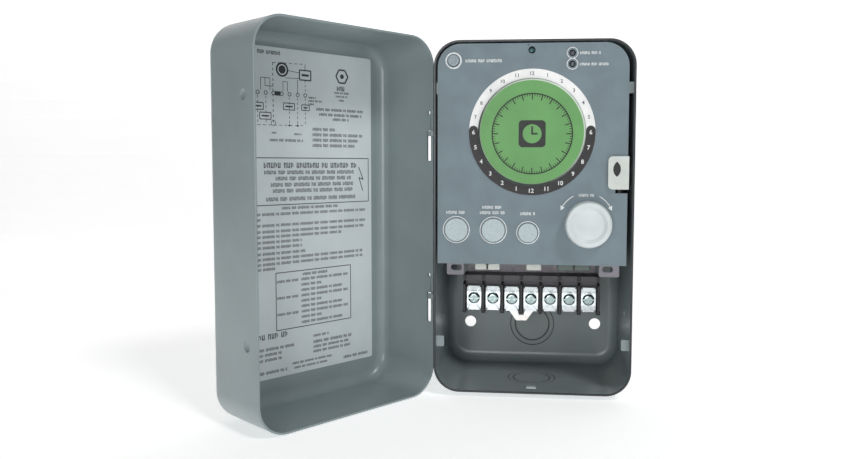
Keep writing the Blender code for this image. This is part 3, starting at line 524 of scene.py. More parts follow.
def surface(name, colour, drift, mottle, rough, patch, grain=(), depth_mm=0.0, **coating):
    """Finish whose colour drifts over a mottle, with patchy gloss and a fine grain."""
    finish = Finish(name, **coating)
    finish.colour(shade(colour, drift[0]), shade(colour, drift[1]), finish.noise(*mottle))
    finish.gloss(*rough, finish.noise(*patch))
    if grain:
        finish.relief(finish.noise(*grain), depth_mm)
    return finish


def enamel(name, colour, rim=None):
    """Baked enamel on sheet steel: faint mottling and orange peel.

    rim is the depth of the front edge; over the last half millimetre before it the colour is
    darkened to dark grey, painted shade of the rim.
    """
    finish = surface(name, colour, drift=(0.94, 1.06), mottle=(38.0, 6.0), rough=(0.26, 0.40),
                     patch=(9.0,), grain=(1.6, 2.0), depth_mm=0.010, coat=0.22, coat_rough=0.2)
    if rim is not None:
        # Painted shade: the colour runs into dark grey along the front edge.
        finish.fade("Y", rim + 0.5, rim + 0.25, tone(40, 44, 48))
    finish.relief(finish.noise(24.0, 2.0), 0.05, 0.6)
    return finish.mat


def moulded(name, colour, rough=(0.38, 0.52), grain_mm=0.35, depth_mm=0.006):
    """Moulded plastic: fine spark-eroded grain and slight colour drift."""
    return surface(name, colour, drift=(0.93, 1.07), mottle=(14.0, 6.0), rough=rough,
                   patch=(3.0,), grain=(grain_mm, 3.0), depth_mm=depth_mm).mat


def speckled(name, colour, rough=(0.38, 0.5), speckle_mm=0.75):
    """Rubbery cap with a fine pale speckle."""
    finish = Finish(name)
    finish.colour(shade(colour, 0.84), shade(colour, 1.1), finish.cells(speckle_mm), 0.05, 0.6)
    finish.gloss(*rough, finish.noise(1.2))
    finish.relief(finish.cells(speckle_mm), 0.01)
    return finish.mat


def paper(name, colour):
    """Printed sheet: fibres and a soft ripple."""
    finish = surface(name, colour, drift=(0.96, 1.04), mottle=(22.0, 8.0), rough=(0.55, 0.72),
                     patch=(4.0,), grain=(0.5, 4.0, (1.0, 1.0, 3.0)), depth_mm=0.006,
                     specular=0.35)
    finish.relief(finish.noise(34.0, 1.0), 0.12, 0.5)
    return finish.mat


def ink(name, colour, rough=0.55):
    """Screen print: slightly uneven coverage."""
    return surface(name, colour, drift=(0.82, 1.12), mottle=(0.9, 5.0), patch=(1.5,),
                   rough=(rough - 0.08, rough + 0.08), grain=(0.4, 2.0), depth_mm=0.003).mat


def bright_metal(name, colour, rough, streak=(1.0, 1.0, 9.0)):
    """Plated metal with fine drawing lines and a clouded plating."""
    return surface(name, colour, drift=(0.88, 1.06), mottle=(2.6, 5.0), rough=rough,
                   patch=(1.4, 4.0), grain=(0.9, 2.0, streak), depth_mm=0.002, metallic=1.0).mat


def edge_lit(name, shaded_tone, lit_tone):
    """Moulded rim whose colour runs from dark at the lower left to pale at the upper right:
    painted shade and painted highlight.
    """
    finish = surface(name, shaded_tone, drift=(0.9, 1.1), mottle=(6.0, 5.0), rough=(0.2, 0.32),
                     patch=(2.0,), grain=(0.6, 2.0), depth_mm=0.003, coat=0.4)
    # Painted light: the tone fades along an axis turned 45 degrees, from the shaded tone to the
    # lit tone.
    finish.fade("X", 20.0, 60.0, lit_tone, 45.0)
    return finish.mat


def laminate(name, colour):
    """Lacquered circuit board: woven glass under the mask."""
    finish = surface(name, colour, drift=(0.75, 1.2), mottle=(5.0, 5.0), rough=(0.28, 0.45),
                     patch=(2.0,), coat=0.3)
    finish.relief(finish.cells(0.8), 0.01)
    return finish.mat


def lens(name, colour):
    """Tinted clear lamp body."""
    return surface(name, colour, drift=(0.7, 1.3), mottle=(1.4, 2.0), rough=(0.08, 0.2),
                   patch=(1.0,), grain=(0.8, 1.0), depth_mm=0.004, coat=0.6,
                   coat_rough=0.05).mat


PAINT = enamel("cover_enamel", tone(138, 151, 153))
# Base enamel, darkened at its front rim with painted shade.
PAINT_BASE_RIM_SHADE = enamel("base_enamel_painted_rim_shade", tone(136, 148, 150), -DEPTH)
PAINT_KNOCKOUT = enamel("knockout_enamel", tone(136, 147, 148))
# Dark grey for the fills in the knockout gaps: painted shade.
KNOCKOUT_GAP_SHADE = enamel("knockout_gap_shade", tone(42, 47, 50))
PAPER = paper("label_sheet", tone(210, 219, 221))
DARK_INK = ink("label_ink", tone(54, 60, 66))
PANEL = moulded("panel_moulding", tone(119, 135, 143), (0.48, 0.6), 0.45, 0.005)
LUG = moulded("lug_moulding", tone(128, 126, 134), (0.42, 0.56))
HOUSING = moulded("housing_moulding", tone(70, 72, 78), (0.42, 0.58))
WHITE_INK = ink("panel_white_ink", tone(240, 245, 245), 0.5)
SCALE_WHITE = moulded("scale_white", tone(248, 250, 250), (0.42, 0.54), 0.5, 0.003)
SCALE_DARK = ink("scale_dark", tone(40, 37, 40), 0.5)
NUMERAL_GREY = ink("numeral_grey", tone(62, 66, 70), 0.5)
DISPLAY = moulded("display_window", tone(104, 165, 95), (0.42, 0.54), 0.6, 0.003)
# Display rim with painted shade at the lower left and a painted highlight at the upper right.
DISPLAY_RIM_PAINTED_LIGHT = edge_lit("display_rim_painted_light", tone(34, 56, 34), tone(212, 226, 212))
DISPLAY_INK = ink("display_ink", tone(18, 25, 20), 0.45)
CAP = speckled("button_cap", tone(182, 196, 200))
CAP_SMALL = speckled("small_button_cap", tone(152, 165, 172))
KNOB = moulded("knob_moulding", tone(214, 222, 223), (0.3, 0.42), 0.5, 0.004)
LATCH = moulded("latch_moulding", tone(212, 218, 213), (0.36, 0.48), 0.5, 0.004)
LAMP = lens("smoked_lens", tone(74, 80, 86))
SWITCH = moulded("switch_moulding", tone(34, 35, 37), (0.4, 0.55))
BOARD = laminate("board_laminate", tone(26, 52, 38))
BOARD_PALE = laminate("main_board_laminate", tone(164, 158, 168))
BARRIER = moulded("barrier_moulding", tone(36, 36, 39), (0.36, 0.5))
BLOCK = moulded("block_moulding", tone(76, 75, 81), (0.4, 0.56), 0.3, 0.008)
STEEL = bright_metal("plated_steel", tone(234, 241, 244), (0.26, 0.4))
SCREW = bright_metal("screw_plating", tone(168, 184, 184), (0.14, 0.3))
LINK = bright_metal("tinned_link", tone(255, 251, 247), (0.42, 0.6))
SCREW_DARK = bright_metal("blued_screw", tone(52, 74, 76), (0.2, 0.36))
RELAY_PALE = moulded("relay_pale", tone(222, 226, 220))
RELAY_GREY = moulded("relay_grey", tone(98, 112, 106))
CORE = bright_metal("core_laminations", tone(96, 96, 99), (0.4, 0.6), (1.0, 14.0, 1.0))
COIL = moulded("coil_tape", tone(176, 150, 72), (0.35, 0.5))


# Base pan
def bend(inset, y, across, along, angles):
    """Inset and Y of the points on a rounded edge; across and along are signed radii."""
    return [(inset + across * (1.0 - cos(a)), y + along * (1.0 - sin(a)))
            for a in map(radians, angles)]


def drawn_pan(half_x, half_z, rim_y, depth, corner_r, away):
    """Drawn tray with rounded corners, rounded bottom edge and softened rim.

    away is +1 when the bottom lies on the +Y side of the rim, -1 otherwise.
    """
    bottom = rim_y + away * depth
    rise = [90.0 * i / PAN_EDGE_STEPS for i in range(PAN_EDGE_STEPS + 1)]
    lip = away * RIM_ROUND
    small = PAN_EDGE_R - SHEET
    profile = bend(0.0, bottom, PAN_EDGE_R, -away * PAN_EDGE_R, rise[::-1])
    profile += bend(0.0, rim_y, RIM_ROUND, lip, RIM_ANGLES)
    profile += bend(SHEET, rim_y, -RIM_ROUND, lip, RIM_ANGLES[::-1])
    profile += bend(SHEET, bottom - away * SHEET, small, -away * small, rise)
    bm = bmesh.new()
    rings = []
    for inset, y in profile:
        outline = rounded_rect(-half_x + inset, half_x - inset, -half_z + inset,
                               half_z - inset, corner_r - inset, PAN_CORNER_STEPS)
        rings.append([bm.verts.new((x, y, z)) for x, z in outline])
    for first, second in zip(rings, rings[1:]):
        bridge(bm, first, second)
    bm.faces.new(rings[0])
    bm.faces.new(rings[-1])
    return bm


def hinge_hook(z):
    """Curled hook that holds the rim strip of the cover."""
    outline = sector(HINGE_X, HINGE_Y, HOOK_OUT_R, HOOK_IN_R, *HOOK_DEG, HOOK_STEPS)
    return prism(outline, z - HOOK_H / 2, z + HOOK_H / 2, "Z")


def rim_tab(side, z):
    """Lanced tab, bent inward just behind the rim, with a rounded tip."""
    wall = HALF_W - SHEET / 2
    tip = HALF_W - SHEET - TAB_REACH
    outline = rounded_rect(tip, wall + PAST, z - TAB_H / 2, z + TAB_H / 2, TAB_CORNER_R, 5)
    outline = [(side * min(x, wall), height) for x, height in outline]
    return prism(outline, TAB_Y, TAB_Y + SHEET)


def base_shell():
    """Base pan with its tabs, hooks, holes and knockout openings."""
    pan = drawn_pan(HALF_W, HALF_H, -DEPTH, DEPTH, BASE_CORNER_R, 1.0)
    extras = [hinge_hook(z + HOOK_RISE) for z in SLOT_Z]
    extras += [rim_tab(side, z) for side in (-1.0, 1.0) for z in TAB_Z]
    pan = add(pan, extras)
    holes = [rod("Y", BACK_KNOCKOUT, KNOCKOUT_HOLE_R, 96)]
    holes.append(rod("Z", BOTTOM_KNOCKOUT, KNOCKOUT_HOLE_R, 96))
    holes += [rod("Y", (x, 0.0, z), MOUNT_HOLE_R, 64) for x, z in MOUNT_HOLES]
    half = LATCH_SLOT / 2
    holes.append(block(-half, half, LATCH_SLOT_Y - half, LATCH_SLOT_Y + half,
                       -HALF_H - PAST, -HALF_H + SHEET + PAST))
    holes += [rod("X", (side * HALF_W, SIDE_HOLE_Y, SIDE_HOLE_Z), SIDE_HOLE_R)
              for side in (-1.0, 1.0)]
    pan = cut(pan, holes)
    piece("base_shell", pan, PAINT_BASE_RIM_SHADE, "base", ("base_enclosure",), EDGE_BREAK)


def knockout(name, axis, centre, nodes):
    """Stamped ring and disc, thickest at mid-sheet, with dark rings in the gaps between them as
    painted shade of the sheared gaps.
    """
    t = SHEET
    low, high = SHEAR_Y
    disc_r = disc_of(nodes[1])[2] + 0.15
    wall_r = KNOCKOUT_HOLE_R + 0.05
    web_r = disc_r + 0.05
    ring_r = wall_r - SHEAR
    face_r = disc_r - SHEAR
    ring = [(wall_r, low), (wall_r, high), (ring_r, t - 0.2), (ring_r - 0.2, t),
            (disc_r + 0.35, t), (disc_r + 0.15, t - 0.2), (disc_r, high), (disc_r, low),
            (disc_r + 0.15, 0.2), (disc_r + 0.35, 0.0), (ring_r - 0.2, 0.0), (ring_r, 0.2)]
    disc = [(0.0, t - 0.12), (disc_r * 0.6, t - 0.1), (face_r - 0.6, t - 0.02),
            (face_r - 0.2, t - 0.02), (face_r, t - 0.2), (web_r, high), (web_r, low),
            (face_r, 0.2), (face_r - 0.2, 0.0), (0.0, 0.0)]
    # Dark rings inside the two sheared gaps: painted shade.
    gaps = [[(r, 0.1), (r, t - 0.1), (r - SHEAR, t - 0.1), (r - SHEAR, 0.1)]
            for r in (wall_r, web_r)]
    for part, profiles, mat, hidden in (("ring", [ring], PAINT_KNOCKOUT, nodes[:1]),
                                        ("disc", [disc], PAINT_KNOCKOUT, nodes[1:]),
                                        ("gap_shade", gaps, KNOCKOUT_GAP_SHADE, nodes)):
        bm = bmesh.new()
        for profile in profiles:
            turned(profile, 0.0, 0.0, KNOCKOUT_STEPS, bm)
        piece("%s_%s" % (name, part), lay(bm, axis, centre), mat, "base",
              hidden)


def knockouts():
    """Both conduit entries."""
    knockout("rear_entry", "back", BACK_KNOCKOUT, ("knockout_back_ring", "knockout_back_disc"))
    knockout("bottom_entry", "Z", BOTTOM_KNOCKOUT,
             ("knockout_bottom_ring", "knockout_bottom_disc"))


# Cover
def dome_x(x_base, radius, z):
    """Low dome on the cover's far wall that rises along -X."""
    profile = [(0.0, 0.6), (radius, 0.6)]
    for i in range(DIMPLE_STEPS):
        angle = radians(90.0 * i / DIMPLE_STEPS)
        profile.append((radius * cos(angle), -DIMPLE_RISE * sin(angle)))
    profile.append((0.0, -DIMPLE_RISE))
    return lay(turned(profile, 0.0, 0.0, 40), "X", (x_base, COVER_RIM_Y - DIMPLE_IN, z))


def cover_shell():
    """Drawn cover with hinge slots, pin holes, pressed strips and stop dimples."""
    tray = drawn_pan(COVER_X, COVER_Z, COVER_RIM_Y, COVER_D, COVER_CORNER_R, -1.0)
    bumps = [dome_x(COVER_IN_X, DIMPLE_R, z) for z in DIMPLE_Z]
    cuts = []
    for z in SLOT_Z:
        pin_z = z + PIN_HOLE_RISE
        bumps.append(block(-COVER_IN_X - 0.4, -COVER_IN_X + 0.35,
                           COVER_RIM_Y - STRIP_IN[0], COVER_RIM_Y - STRIP_IN[1],
                           z + SLOT_H / 2 + STRIP_CLEAR, pin_z - PIN_HOLE_R - STRIP_CLEAR))
        cuts.append(block(-COVER_X - PAST, -COVER_IN_X + PAST, COVER_RIM_Y - STRIP_W - SLOT_W,
                          COVER_RIM_Y - STRIP_W, z - SLOT_H / 2, z + SLOT_H / 2))
        cuts.append(rod("X", (-COVER_X, COVER_RIM_Y - PIN_HOLE_IN, pin_z), PIN_HOLE_R, 32))
    cuts += [dome_x(COVER_X, DENT_R, z) for z in DIMPLE_Z]
    tray = cut(add(tray, bumps), cuts)
    piece("cover_shell", tray, PAINT, "cover", ("cover",), EDGE_BREAK)


def at(distance):
    """X of a point on the closed cover, given its distance from the hinge line."""
    return HINGE_X + distance


def label_sheet():
    """Paper label with softly rounded corners."""
    outline = rounded_rect(at(LABEL_NEAR), at(LABEL_FAR), *LABEL_Z, LABEL_CORNER_R, 8)
    sheet = prism(outline, LABEL_Y, LABEL_Y + LABEL_T)
    piece("label_sheet", sheet, PAPER, "cover", ("cover_label",), 0.05)


# Letters per word in the dummy text, repeated along every line
WORDS = (5, 3, 7, 2, 6, 4, 8, 3, 5)
# Lines of dummy text: left and right distance from the hinge line, z, stroke height
TEXT_LINES = (
    (94.0, 70.6, 89.3, 2.0),
    (77.6, 74.4, 47.0, 1.0), (63.6, 58.4, 46.6, 1.0), (79.0, 57.5, 43.1, 1.4),
    (54.0, 49.0, 67.0, 1.0), (54.0, 44.5, 65.2, 1.0), (54.0, 49.5, 63.4, 1.0),
    (34.6, 27.4, 73.3, 2.6), (36.5, 25.8, 70.8, 1.0), (35.5, 27.0, 68.8, 1.0),
    (33.2, 29.2, 66.6, 1.0),
    (49.0, 14.6, 60.9, 1.5), (47.0, 16.6, 58.1, 1.5), (37.6, 26.0, 55.6, 1.5),
    (51.5, 35.2, 49.7, 1.7), (51.5, 15.6, 46.7, 1.7), (51.5, 18.4, 43.7, 1.7),
    (51.5, 21.0, 40.7, 1.7),
    (82.8, 20.2, 29.6, 3.0), (82.6, 20.4, 25.8, 2.1), (75.6, 23.4, 22.5, 2.1),
    (78.6, 22.6, 19.1, 2.1), (77.4, 23.2, 15.8, 2.1), (81.5, 20.6, 11.4, 2.1),
    (72.0, 34.0, 6.4, 1.5),
    (94.4, 13.7, 3.4, 1.5), (94.4, 84.0, 0.5, 1.5), (94.4, 13.7, -2.6, 1.5),
    (94.4, 15.6, -5.9, 1.5), (94.4, 31.7, -8.7, 1.5), (94.4, 58.9, -11.6, 1.5),
    (94.4, 58.9, -14.5, 1.5), (94.4, 56.8, -17.8, 1.5), (94.4, 15.7, -20.7, 1.5),
    (94.4, 15.7, -23.5, 1.5), (94.4, 76.0, -26.1, 1.5),
    (59.0, 42.0, -30.8, 1.5),
    (94.0, 67.6, -62.7, 3.0),
    (94.0, 90.0, -65.9, 1.3), (94.0, 64.6, -69.6, 1.6), (94.0, 72.2, -72.5, 1.5),
    (94.0, 72.3, -75.4, 1.5), (94.0, 90.4, -78.6, 1.3), (94.0, 68.6, -82.3, 1.6),
    (52.3, 41.2, -66.7, 1.4), (52.3, 24.9, -70.2, 1.7), (52.3, 26.8, -73.0, 1.5),
    (52.4, 25.6, -75.7, 1.5),
    (66.4, 39.0, -80.1, 1.2), (65.3, 41.4, -82.7, 1.2), (31.2, 12.2, -82.8, 1.6),
)
# Wiring diagram: rings by distance, z, outer and inner radius; boxes by far and near
# distance, low and high z; lines by width and points; dashes by both ends, dash and width
DIAGRAM_RINGS = ((70.8, 80.9, 3.9, 2.9), (70.8, 80.9, 2.2, 0.0), (76.6, 52.2, 1.5, 1.2),
                 (66.6, 51.2, 0.6, 0.0), (61.3, 51.2, 0.6, 0.0))
DIAGRAM_BOXES = ((90.0, 82.6, 59.0, 62.6), (84.8, 78.0, 54.0, 57.6), (70.2, 63.2, 59.6, 63.2),
                 (58.6, 53.6, 59.8, 62.8))
DIAGRAM_LINES = (
    (1.2, (58.4, 79.0), (53.8, 79.0)), (0.3, (56.2, 84.9), (56.2, 81.6)),
    (0.3, (66.9, 80.6), (59.8, 80.0)), (0.3, (69.0, 76.6), (59.8, 77.0)),
    (0.3, (61.1, 76.3), (61.1, 69.0)), (2.3, (75.4, 68.0), (72.0, 68.0)),
    (0.3, (84.0, 69.4), (84.0, 75.8), (78.4, 75.8), (78.4, 69.4)),
    (0.3, (70.4, 69.4), (70.4, 74.6), (67.6, 74.6), (67.6, 69.4)),
    (0.3, (81.4, 75.8), (81.4, 71.6), (76.6, 71.6)),
)
DIAGRAM_DASHES = (
    (76.6, 84.2, 56.2, 84.9, 1.6, 0.3), (76.6, 84.2, 76.6, 51.2, 1.3, 0.4),
    (56.2, 76.3, 56.2, 69.0, 1.1, 0.3), (86.3, 51.0, 56.4, 51.4, 1.5, 0.3),
)
TERMINAL_MARKS = (85.8, 81.0, 76.4, 71.2, 66.3, 61.1, 56.2)
DROPS = (86.0, 81.0, 66.5, 61.3, 56.2)
ZIGZAG = ((1.8, 28.6), (-1.6, 21.2), (1.6, 22.4), (-1.2, 14.6))
SIGN_AT = (31.0, 80.3)
RATING_ROWS = 9
RATING_Z = -33.6
RATING_STEP = 3.02


def dummy_text(bm, left, right, z, height, levels):
    """Row of upright strokes in word-like groups, read from left to right."""
    direction = 1.0 if right > left else -1.0
    length = abs(right - left)
    pen = 0.17 * height
    letter = 0.72 * height
    done = 0.0
    index = 0
    while done + letter < length:
        for i in range(WORDS[index % len(WORDS)]):
            if done + letter > length:
                break
            tall = height if (index + i) % 3 else 0.6 * height
            middle = z + (0.33 if (index + i) % 2 else -0.33) * height
            for start, width, level, rise in ((0.0, pen, z, height),
                                              (0.36 * height, pen, z, tall),
                                              (pen, 0.19 * height, middle, pen)):
                x = left + direction * (done + start)
                pull(bm, rectangle(*sorted((x, x + direction * width)), level - rise / 2,
                                   level + rise / 2), *levels)
            done += letter
        done += 0.55 * height
        index += 1


def hoop(bm, cx, cz, outer, inner, levels, steps):
    """Flat printed ring, or a filled spot when inner is zero."""
    low, high = levels
    if inner > 0.0:
        turned([(outer, low), (outer, high), (inner, high), (inner, low)], cx, cz, steps, bm)
    else:
        pull(bm, circle(cx, cz, outer, steps), low, high)


def label_path(bm, points, width=0.3, closed=False):
    """Printed line through points, each a distance from the hinge line and a z."""
    ends = list(points[1:]) + (list(points[:1]) if closed else [])
    for (d0, z0), (d1, z1) in zip(points, ends):
        pull(bm, stroke(at(d0), z0, at(d1), z1, width), *LABEL_INK_Y)


def label_frame(bm, far, near, z0, z1, width):
    """Printed rectangle."""
    label_path(bm, rectangle(far, near, z0, z1), width, True)


def label_dashes(bm, d0, z0, d1, z1, dash=1.1, width=0.3):
    """Dashed printed line."""
    start = Vector((d0, z0))
    run = Vector((d1, z1)) - start
    count = max(1, int(run.length / (2.0 * dash)))
    for i in range(count):
        label_path(bm, (start + run * (i / count), start + run * ((i + 0.55) / count)), width)


def label_ring(bm, distance, z, outer, inner):
    """Printed ring or spot."""
    hoop(bm, at(distance), z, outer, inner, LABEL_INK_Y, 32)


def wiring_diagram(bm):
    """Generic wiring diagram in the upper corner of the label."""
    for ring in DIAGRAM_RINGS:
        label_ring(bm, *ring)
    for distance in TERMINAL_MARKS:
        label_ring(bm, distance, 68.0, 1.15, 0.75)
    for width, *points in DIAGRAM_LINES:
        label_path(bm, points, width)
    for dashes in DIAGRAM_DASHES:
        label_dashes(bm, *dashes)
    for distance in DROPS:
        label_dashes(bm, distance, 66.4, distance, 51.2)
    label_frame(bm, 59.8, 52.4, 76.3, 81.6, 0.7)
    for far, near, low, high in DIAGRAM_BOXES:
        label_frame(bm, far, near, low, high, 0.45)
        middle = (low + high) / 2
        label_path(bm, ((far - 1.2, middle), (near + 1.2, middle)), 0.8)


def label_print():
    """All the ink on the label: diagram, frames and dummy text."""
    bm = bmesh.new()
    lines = list(TEXT_LINES)
    for row in range(RATING_ROWS):
        z = RATING_Z - RATING_STEP * row
        lines.append((60.0, (27.0, 46.0, 31.0)[row % 3], z, 1.5))
        if row % 3 == 0:
            lines.append((75.6, 61.5, z, 1.4))
    for left, right, z, height in lines:
        dummy_text(bm, at(left), at(right), z, height, LABEL_INK_Y)
    label_frame(bm, 94.7, 12.1, 8.3, 33.6, 0.45)
    label_frame(bm, 76.3, 25.8, -60.2, -28.7, 0.45)
    wiring_diagram(bm)
    for distance in (91.5, 17.5):
        label_path(bm, [(distance + d, z) for d, z in ZIGZAG], 0.55)
    label_path(bm, circle(*SIGN_AT, 4.2, 6), 0.9, True)
    label_ring(bm, *SIGN_AT, 1.3, 0.0)
    piece("label_print", bm, DARK_INK, "cover")


# Face panel: printed rings by node, outer radius and width; captions by both ends, z and
# height
PANEL_RINGS = (("button_manual", 4.55, 0.8), ("button_set", 7.6, 0.45),
               ("button_program", 7.6, 0.45), ("button_clear", 6.4, 0.45),
               ("status_lamp_1", 3.1, 0.35), ("status_lamp_2", 3.1, 0.35))
PANEL_TEXT = ((-37.7, -16.4, 87.5, 1.7), (25.0, 36.4, 91.3, 1.5), (25.0, 41.4, 85.2, 1.5),
              (-48.3, -37.5, 3.5, 1.7), (-28.0, -17.2, 6.5, 1.7), (-29.4, -15.0, 3.5, 1.7),
              (-6.8, 1.6, 3.1, 1.7), (25.3, 34.7, 13.6, 1.5))


def panel_outline():
    """Rounded top corners and square bottom corners."""
    x0, x1, z1 = PANEL_LOW.x, PANEL_HIGH.x, PANEL_HIGH.z
    corners = arc(x1 - PANEL_R, z1 - PANEL_R, PANEL_R, 0.0, 90.0, 20)
    corners += arc(x0 + PANEL_R, z1 - PANEL_R, PANEL_R, 90.0, 180.0, 20)
    return [(x0, PANEL_EDGE_Z), (x1, PANEL_EDGE_Z)] + corners


def button_of(name):
    """Centre x, centre z, cap radius and front y of a button."""
    x, z, radius, front, _ = disc_of("button_" + name)
    return x, z, radius - BUTTON_FLANGE, front


def face_plate():
    """Moulded face plate with its openings."""
    def opening(node, gap, steps):
        x, z, radius, _, _ = disc_of(node)
        return prism(circle(x, z, radius + gap, steps), *PANEL_CUT_Y)

    cuts = [opening("button_" + name, 0.18 - BUTTON_FLANGE, 72) for name in BUTTON_NAMES]
    cuts.append(opening("panel_screw", 0.3, 40))
    x, z, _, _, _ = disc_of("panel_screw")
    cuts.append(block(x - 2.2, x - 1.2, FACE_Y - PAST, FACE_Y + 0.6, z + 2.3, z + 3.1))
    cuts += [opening(lamp, 0.0, 40) for lamp in LAMPS]
    x, z, _, _, _ = disc_of("adjust_knob")
    cuts.append(prism(circle(x, z, 4.0, 48), *PANEL_CUT_Y))
    low, high = span("panel_latch")
    cuts.append(block(low.x + 4.1, PANEL_HIGH.x + 2.0, *PANEL_CUT_Y, low.z - 2.1, high.z - 4.1))
    plate = cut(prism(panel_outline(), FACE_Y, PANEL_BACK), cuts)
    piece("face_plate", plate, PANEL, "base", ("face_panel",), 0.3, 3)


def panel_lugs():
    """Two slotted lugs below the face plate."""
    bm = bmesh.new()
    for (x0, x1), (s0, s1) in zip(LUGS, LUG_SLOTS):
        lug = prism(rounded_rect(x0, x1, PANEL_LOW.z, PANEL_EDGE_Z + 0.4, 0.9, 5),
                    FACE_Y + 0.15, PANEL_BACK)
        hole = prism(rounded_rect(s0, s1, *LUG_SLOT_Z, 1.4, 8), *PANEL_CUT_Y)
        gather(bm, cut(lug, [hole]))
    piece("panel_lugs", bm, LUG, "base", bevel=0.25)


def panel_screw():
    """Recessed screw with a slotted, domed head."""
    x, z, radius, front, back = disc_of("panel_screw")
    profile = [(0.0, front + 0.05)] + quarter(radius, front + 0.05, 0.6)
    profile += [(radius, front + 1.1), (1.0, front + 1.1), (1.0, back), (0.0, back)]
    screw = turned(profile, x, z, 48)
    screw = cut(screw, [block(x - 2.0, x + 2.0, front - 1.0, front + 0.6, z - 0.25, z + 0.25)])
    piece("panel_screw_head", screw, SCREW_DARK, "base", ("panel_screw",), 0.06)


def turn_arrows(bm):
    """Two arcs with arrowheads above the knob."""
    x, z, _, _, _ = disc_of("adjust_knob")
    cx, cz, radius = x - 1.1, z + 2.2, 15.0
    for first, last, turn in ((118.0, 150.0, 1.0), (62.0, 30.0, -1.0)):
        shaft = sector(cx, cz, radius + 0.2, radius - 0.2, first, last, 16)
        head = [arc(cx, cz, reach, angle, angle, 1)[0] for reach, angle in (
            (radius, last + turn * 9.0), (radius + 1.3, last), (radius - 1.3, last))]
        for outline in (shaft, head):
            pull(bm, outline, *PANEL_INK_Y)


def panel_print():
    """White print of the face plate: rings, arrows and dummy captions."""
    bm = bmesh.new()
    for node, outer, width in PANEL_RINGS:
        x, z, _, _, _ = disc_of(node)
        hoop(bm, x, z, outer, outer - width, PANEL_INK_Y, 96)
    for x0, x1, z, height in PANEL_TEXT:
        dummy_text(bm, x0, x1, z, height, PANEL_INK_Y)
    turn_arrows(bm)
    piece("panel_print", bm, WHITE_INK, "base")


# Dial
NIGHT_RISE = 1.1
DISPLAY_RIM_W = 1.0
TICKS = 96
TICK_R = 22.3
CLOCK_HALF = 7.4


def numeral(bm, text, x, z, height, levels, weight):
    """Add an upright number, centred on a point."""
    curve = bpy.data.curves.new("numeral", "FONT")
    curve.body = text
    curve.extrude = 0.5
    curve.offset = weight
    curve.resolution_u = 4
    obj = shown("numeral", curve)
    graph = bpy.context.evaluated_depsgraph_get()
    mesh = bpy.data.meshes.new_from_object(obj.evaluated_get(graph))
    discard(obj)
    glyph = bmesh.new()
    glyph.from_mesh(mesh)
    bpy.data.meshes.remove(mesh)
    across = [v.co.x for v in glyph.verts]
    upward = [v.co.y for v in glyph.verts]
    middle = Vector((min(across) + max(across), min(upward) + max(upward))) / 2
    size = height / (max(upward) - min(upward))
    for vert in glyph.verts:
        spot = (vert.co.xy - middle) * size
        vert.co = (x + spot.x, levels[0] if vert.co.z > 0.0 else levels[1], z + spot.y)
    gather(bm, glyph)


def dial():
    """Two-tone hour ring with numbers, and the raised green display."""
    x, z, ring_r, front, back = disc_of("dial_scale_ring")
    dx, dz, disc_r, face, disc_back = disc_of("dial_display")
    bore = disc_r + 0.3
    profile = [(ring_r, back), (ring_r, front + 0.1), (ring_r - 0.1, front)]
    profile += [(bore + 0.1, front), (bore, front + 0.1), (bore, back)]
    piece("dial_ring_white", turned(profile, x, z, 192), SCALE_WHITE, "base",
          ("dial_scale_ring",))

    middle = (ring_r + bore) / 2
    half = (ring_r - bore) / 2 - 0.02
    outline = arc(x, z, middle + half, 180.0, 360.0, 96)
    outline += arc(x + middle, z + NIGHT_RISE, half, 0.0, 180.0, 16)
    outline += arc(x, z, middle - half, 180.0, 360.0, 96)[::-1]
    outline += arc(x - middle, z + NIGHT_RISE, half, 0.0, 180.0, 16)
    night = prism(outline, front - 0.06, front + 0.02)
    piece("dial_ring_dark", night, SCALE_DARK, "base")

    day = bmesh.new()
    dark = bmesh.new()
    for hour in range(24):
        angle = 90.0 - 15.0 * hour
        place = arc(x, z, middle, angle, angle, 1)[0]
        text = str(hour % 12 or 12)
        if hour < 6 or hour > 18:
            numeral(day, text, *place, 2.0, (front - 0.05, front + 0.02), 0.012)
        else:
            numeral(dark, text, *place, 2.4, (front - 0.11, front - 0.04), 0.02)
    piece("dial_numbers_day", day, NUMERAL_GREY, "base")
    piece("dial_numbers_night", dark, WHITE_INK, "base")

    window_r = disc_r - DISPLAY_RIM_W
    profile = [(0.0, disc_back), (window_r, disc_back), (window_r, face)]
    profile += [(disc_r * 0.5, face), (0.0, face)]
    piece("display_window", turned(profile, dx, dz, 192), DISPLAY, "base",
          ("dial_display",))
    # Rim of the display, in the material with painted highlight and painted shade.
    profile = [(window_r, disc_back), (window_r, face)]
    profile += quarter(disc_r, face, 0.7, 6) + [(disc_r, disc_back)]
    piece("display_rim_painted_light", turned(profile, dx, dz, 192), DISPLAY_RIM_PAINTED_LIGHT, "base")
    display_print(dx + 0.2, dz - 0.9, face)


def display_print(cx, cz, face):
    """Tick circle and a plain clock sign in the middle of the display."""
    bm = bmesh.new()
    levels = (face - 0.05, face + 0.02)
    hoop(bm, cx, cz, TICK_R, TICK_R - 0.65, levels, 160)
    for i in range(TICKS):
        angle = 360.0 / TICKS * i
        length, width = (1.5, 0.36) if i % 4 else (3.3, 0.58)
        outer = arc(cx, cz, TICK_R - 0.3, angle, angle, 1)[0]
        inner = arc(cx, cz, TICK_R - 0.3 - length, angle, angle, 1)[0]
        pull(bm, stroke(*inner, *outer, width), *levels)
    square = prism(rounded_rect(cx - CLOCK_HALF, cx + CLOCK_HALF, cz - CLOCK_HALF,
                                cz + CLOCK_HALF, 2.2, 8), *levels)
    hole = prism(circle(cx, cz, 5.2, 64), levels[0] - PAST, levels[1] + PAST)
    gather(bm, cut(square, [hole]))
    pull(bm, rectangle(cx - 0.5, cx + 0.5, cz - 0.5, cz + 4.1), *levels)
    pull(bm, rectangle(cx + 0.5, cx + 3.0, cz - 0.5, cz + 0.5), *levels)
    piece("display_print", bm, DISPLAY_INK, "base")


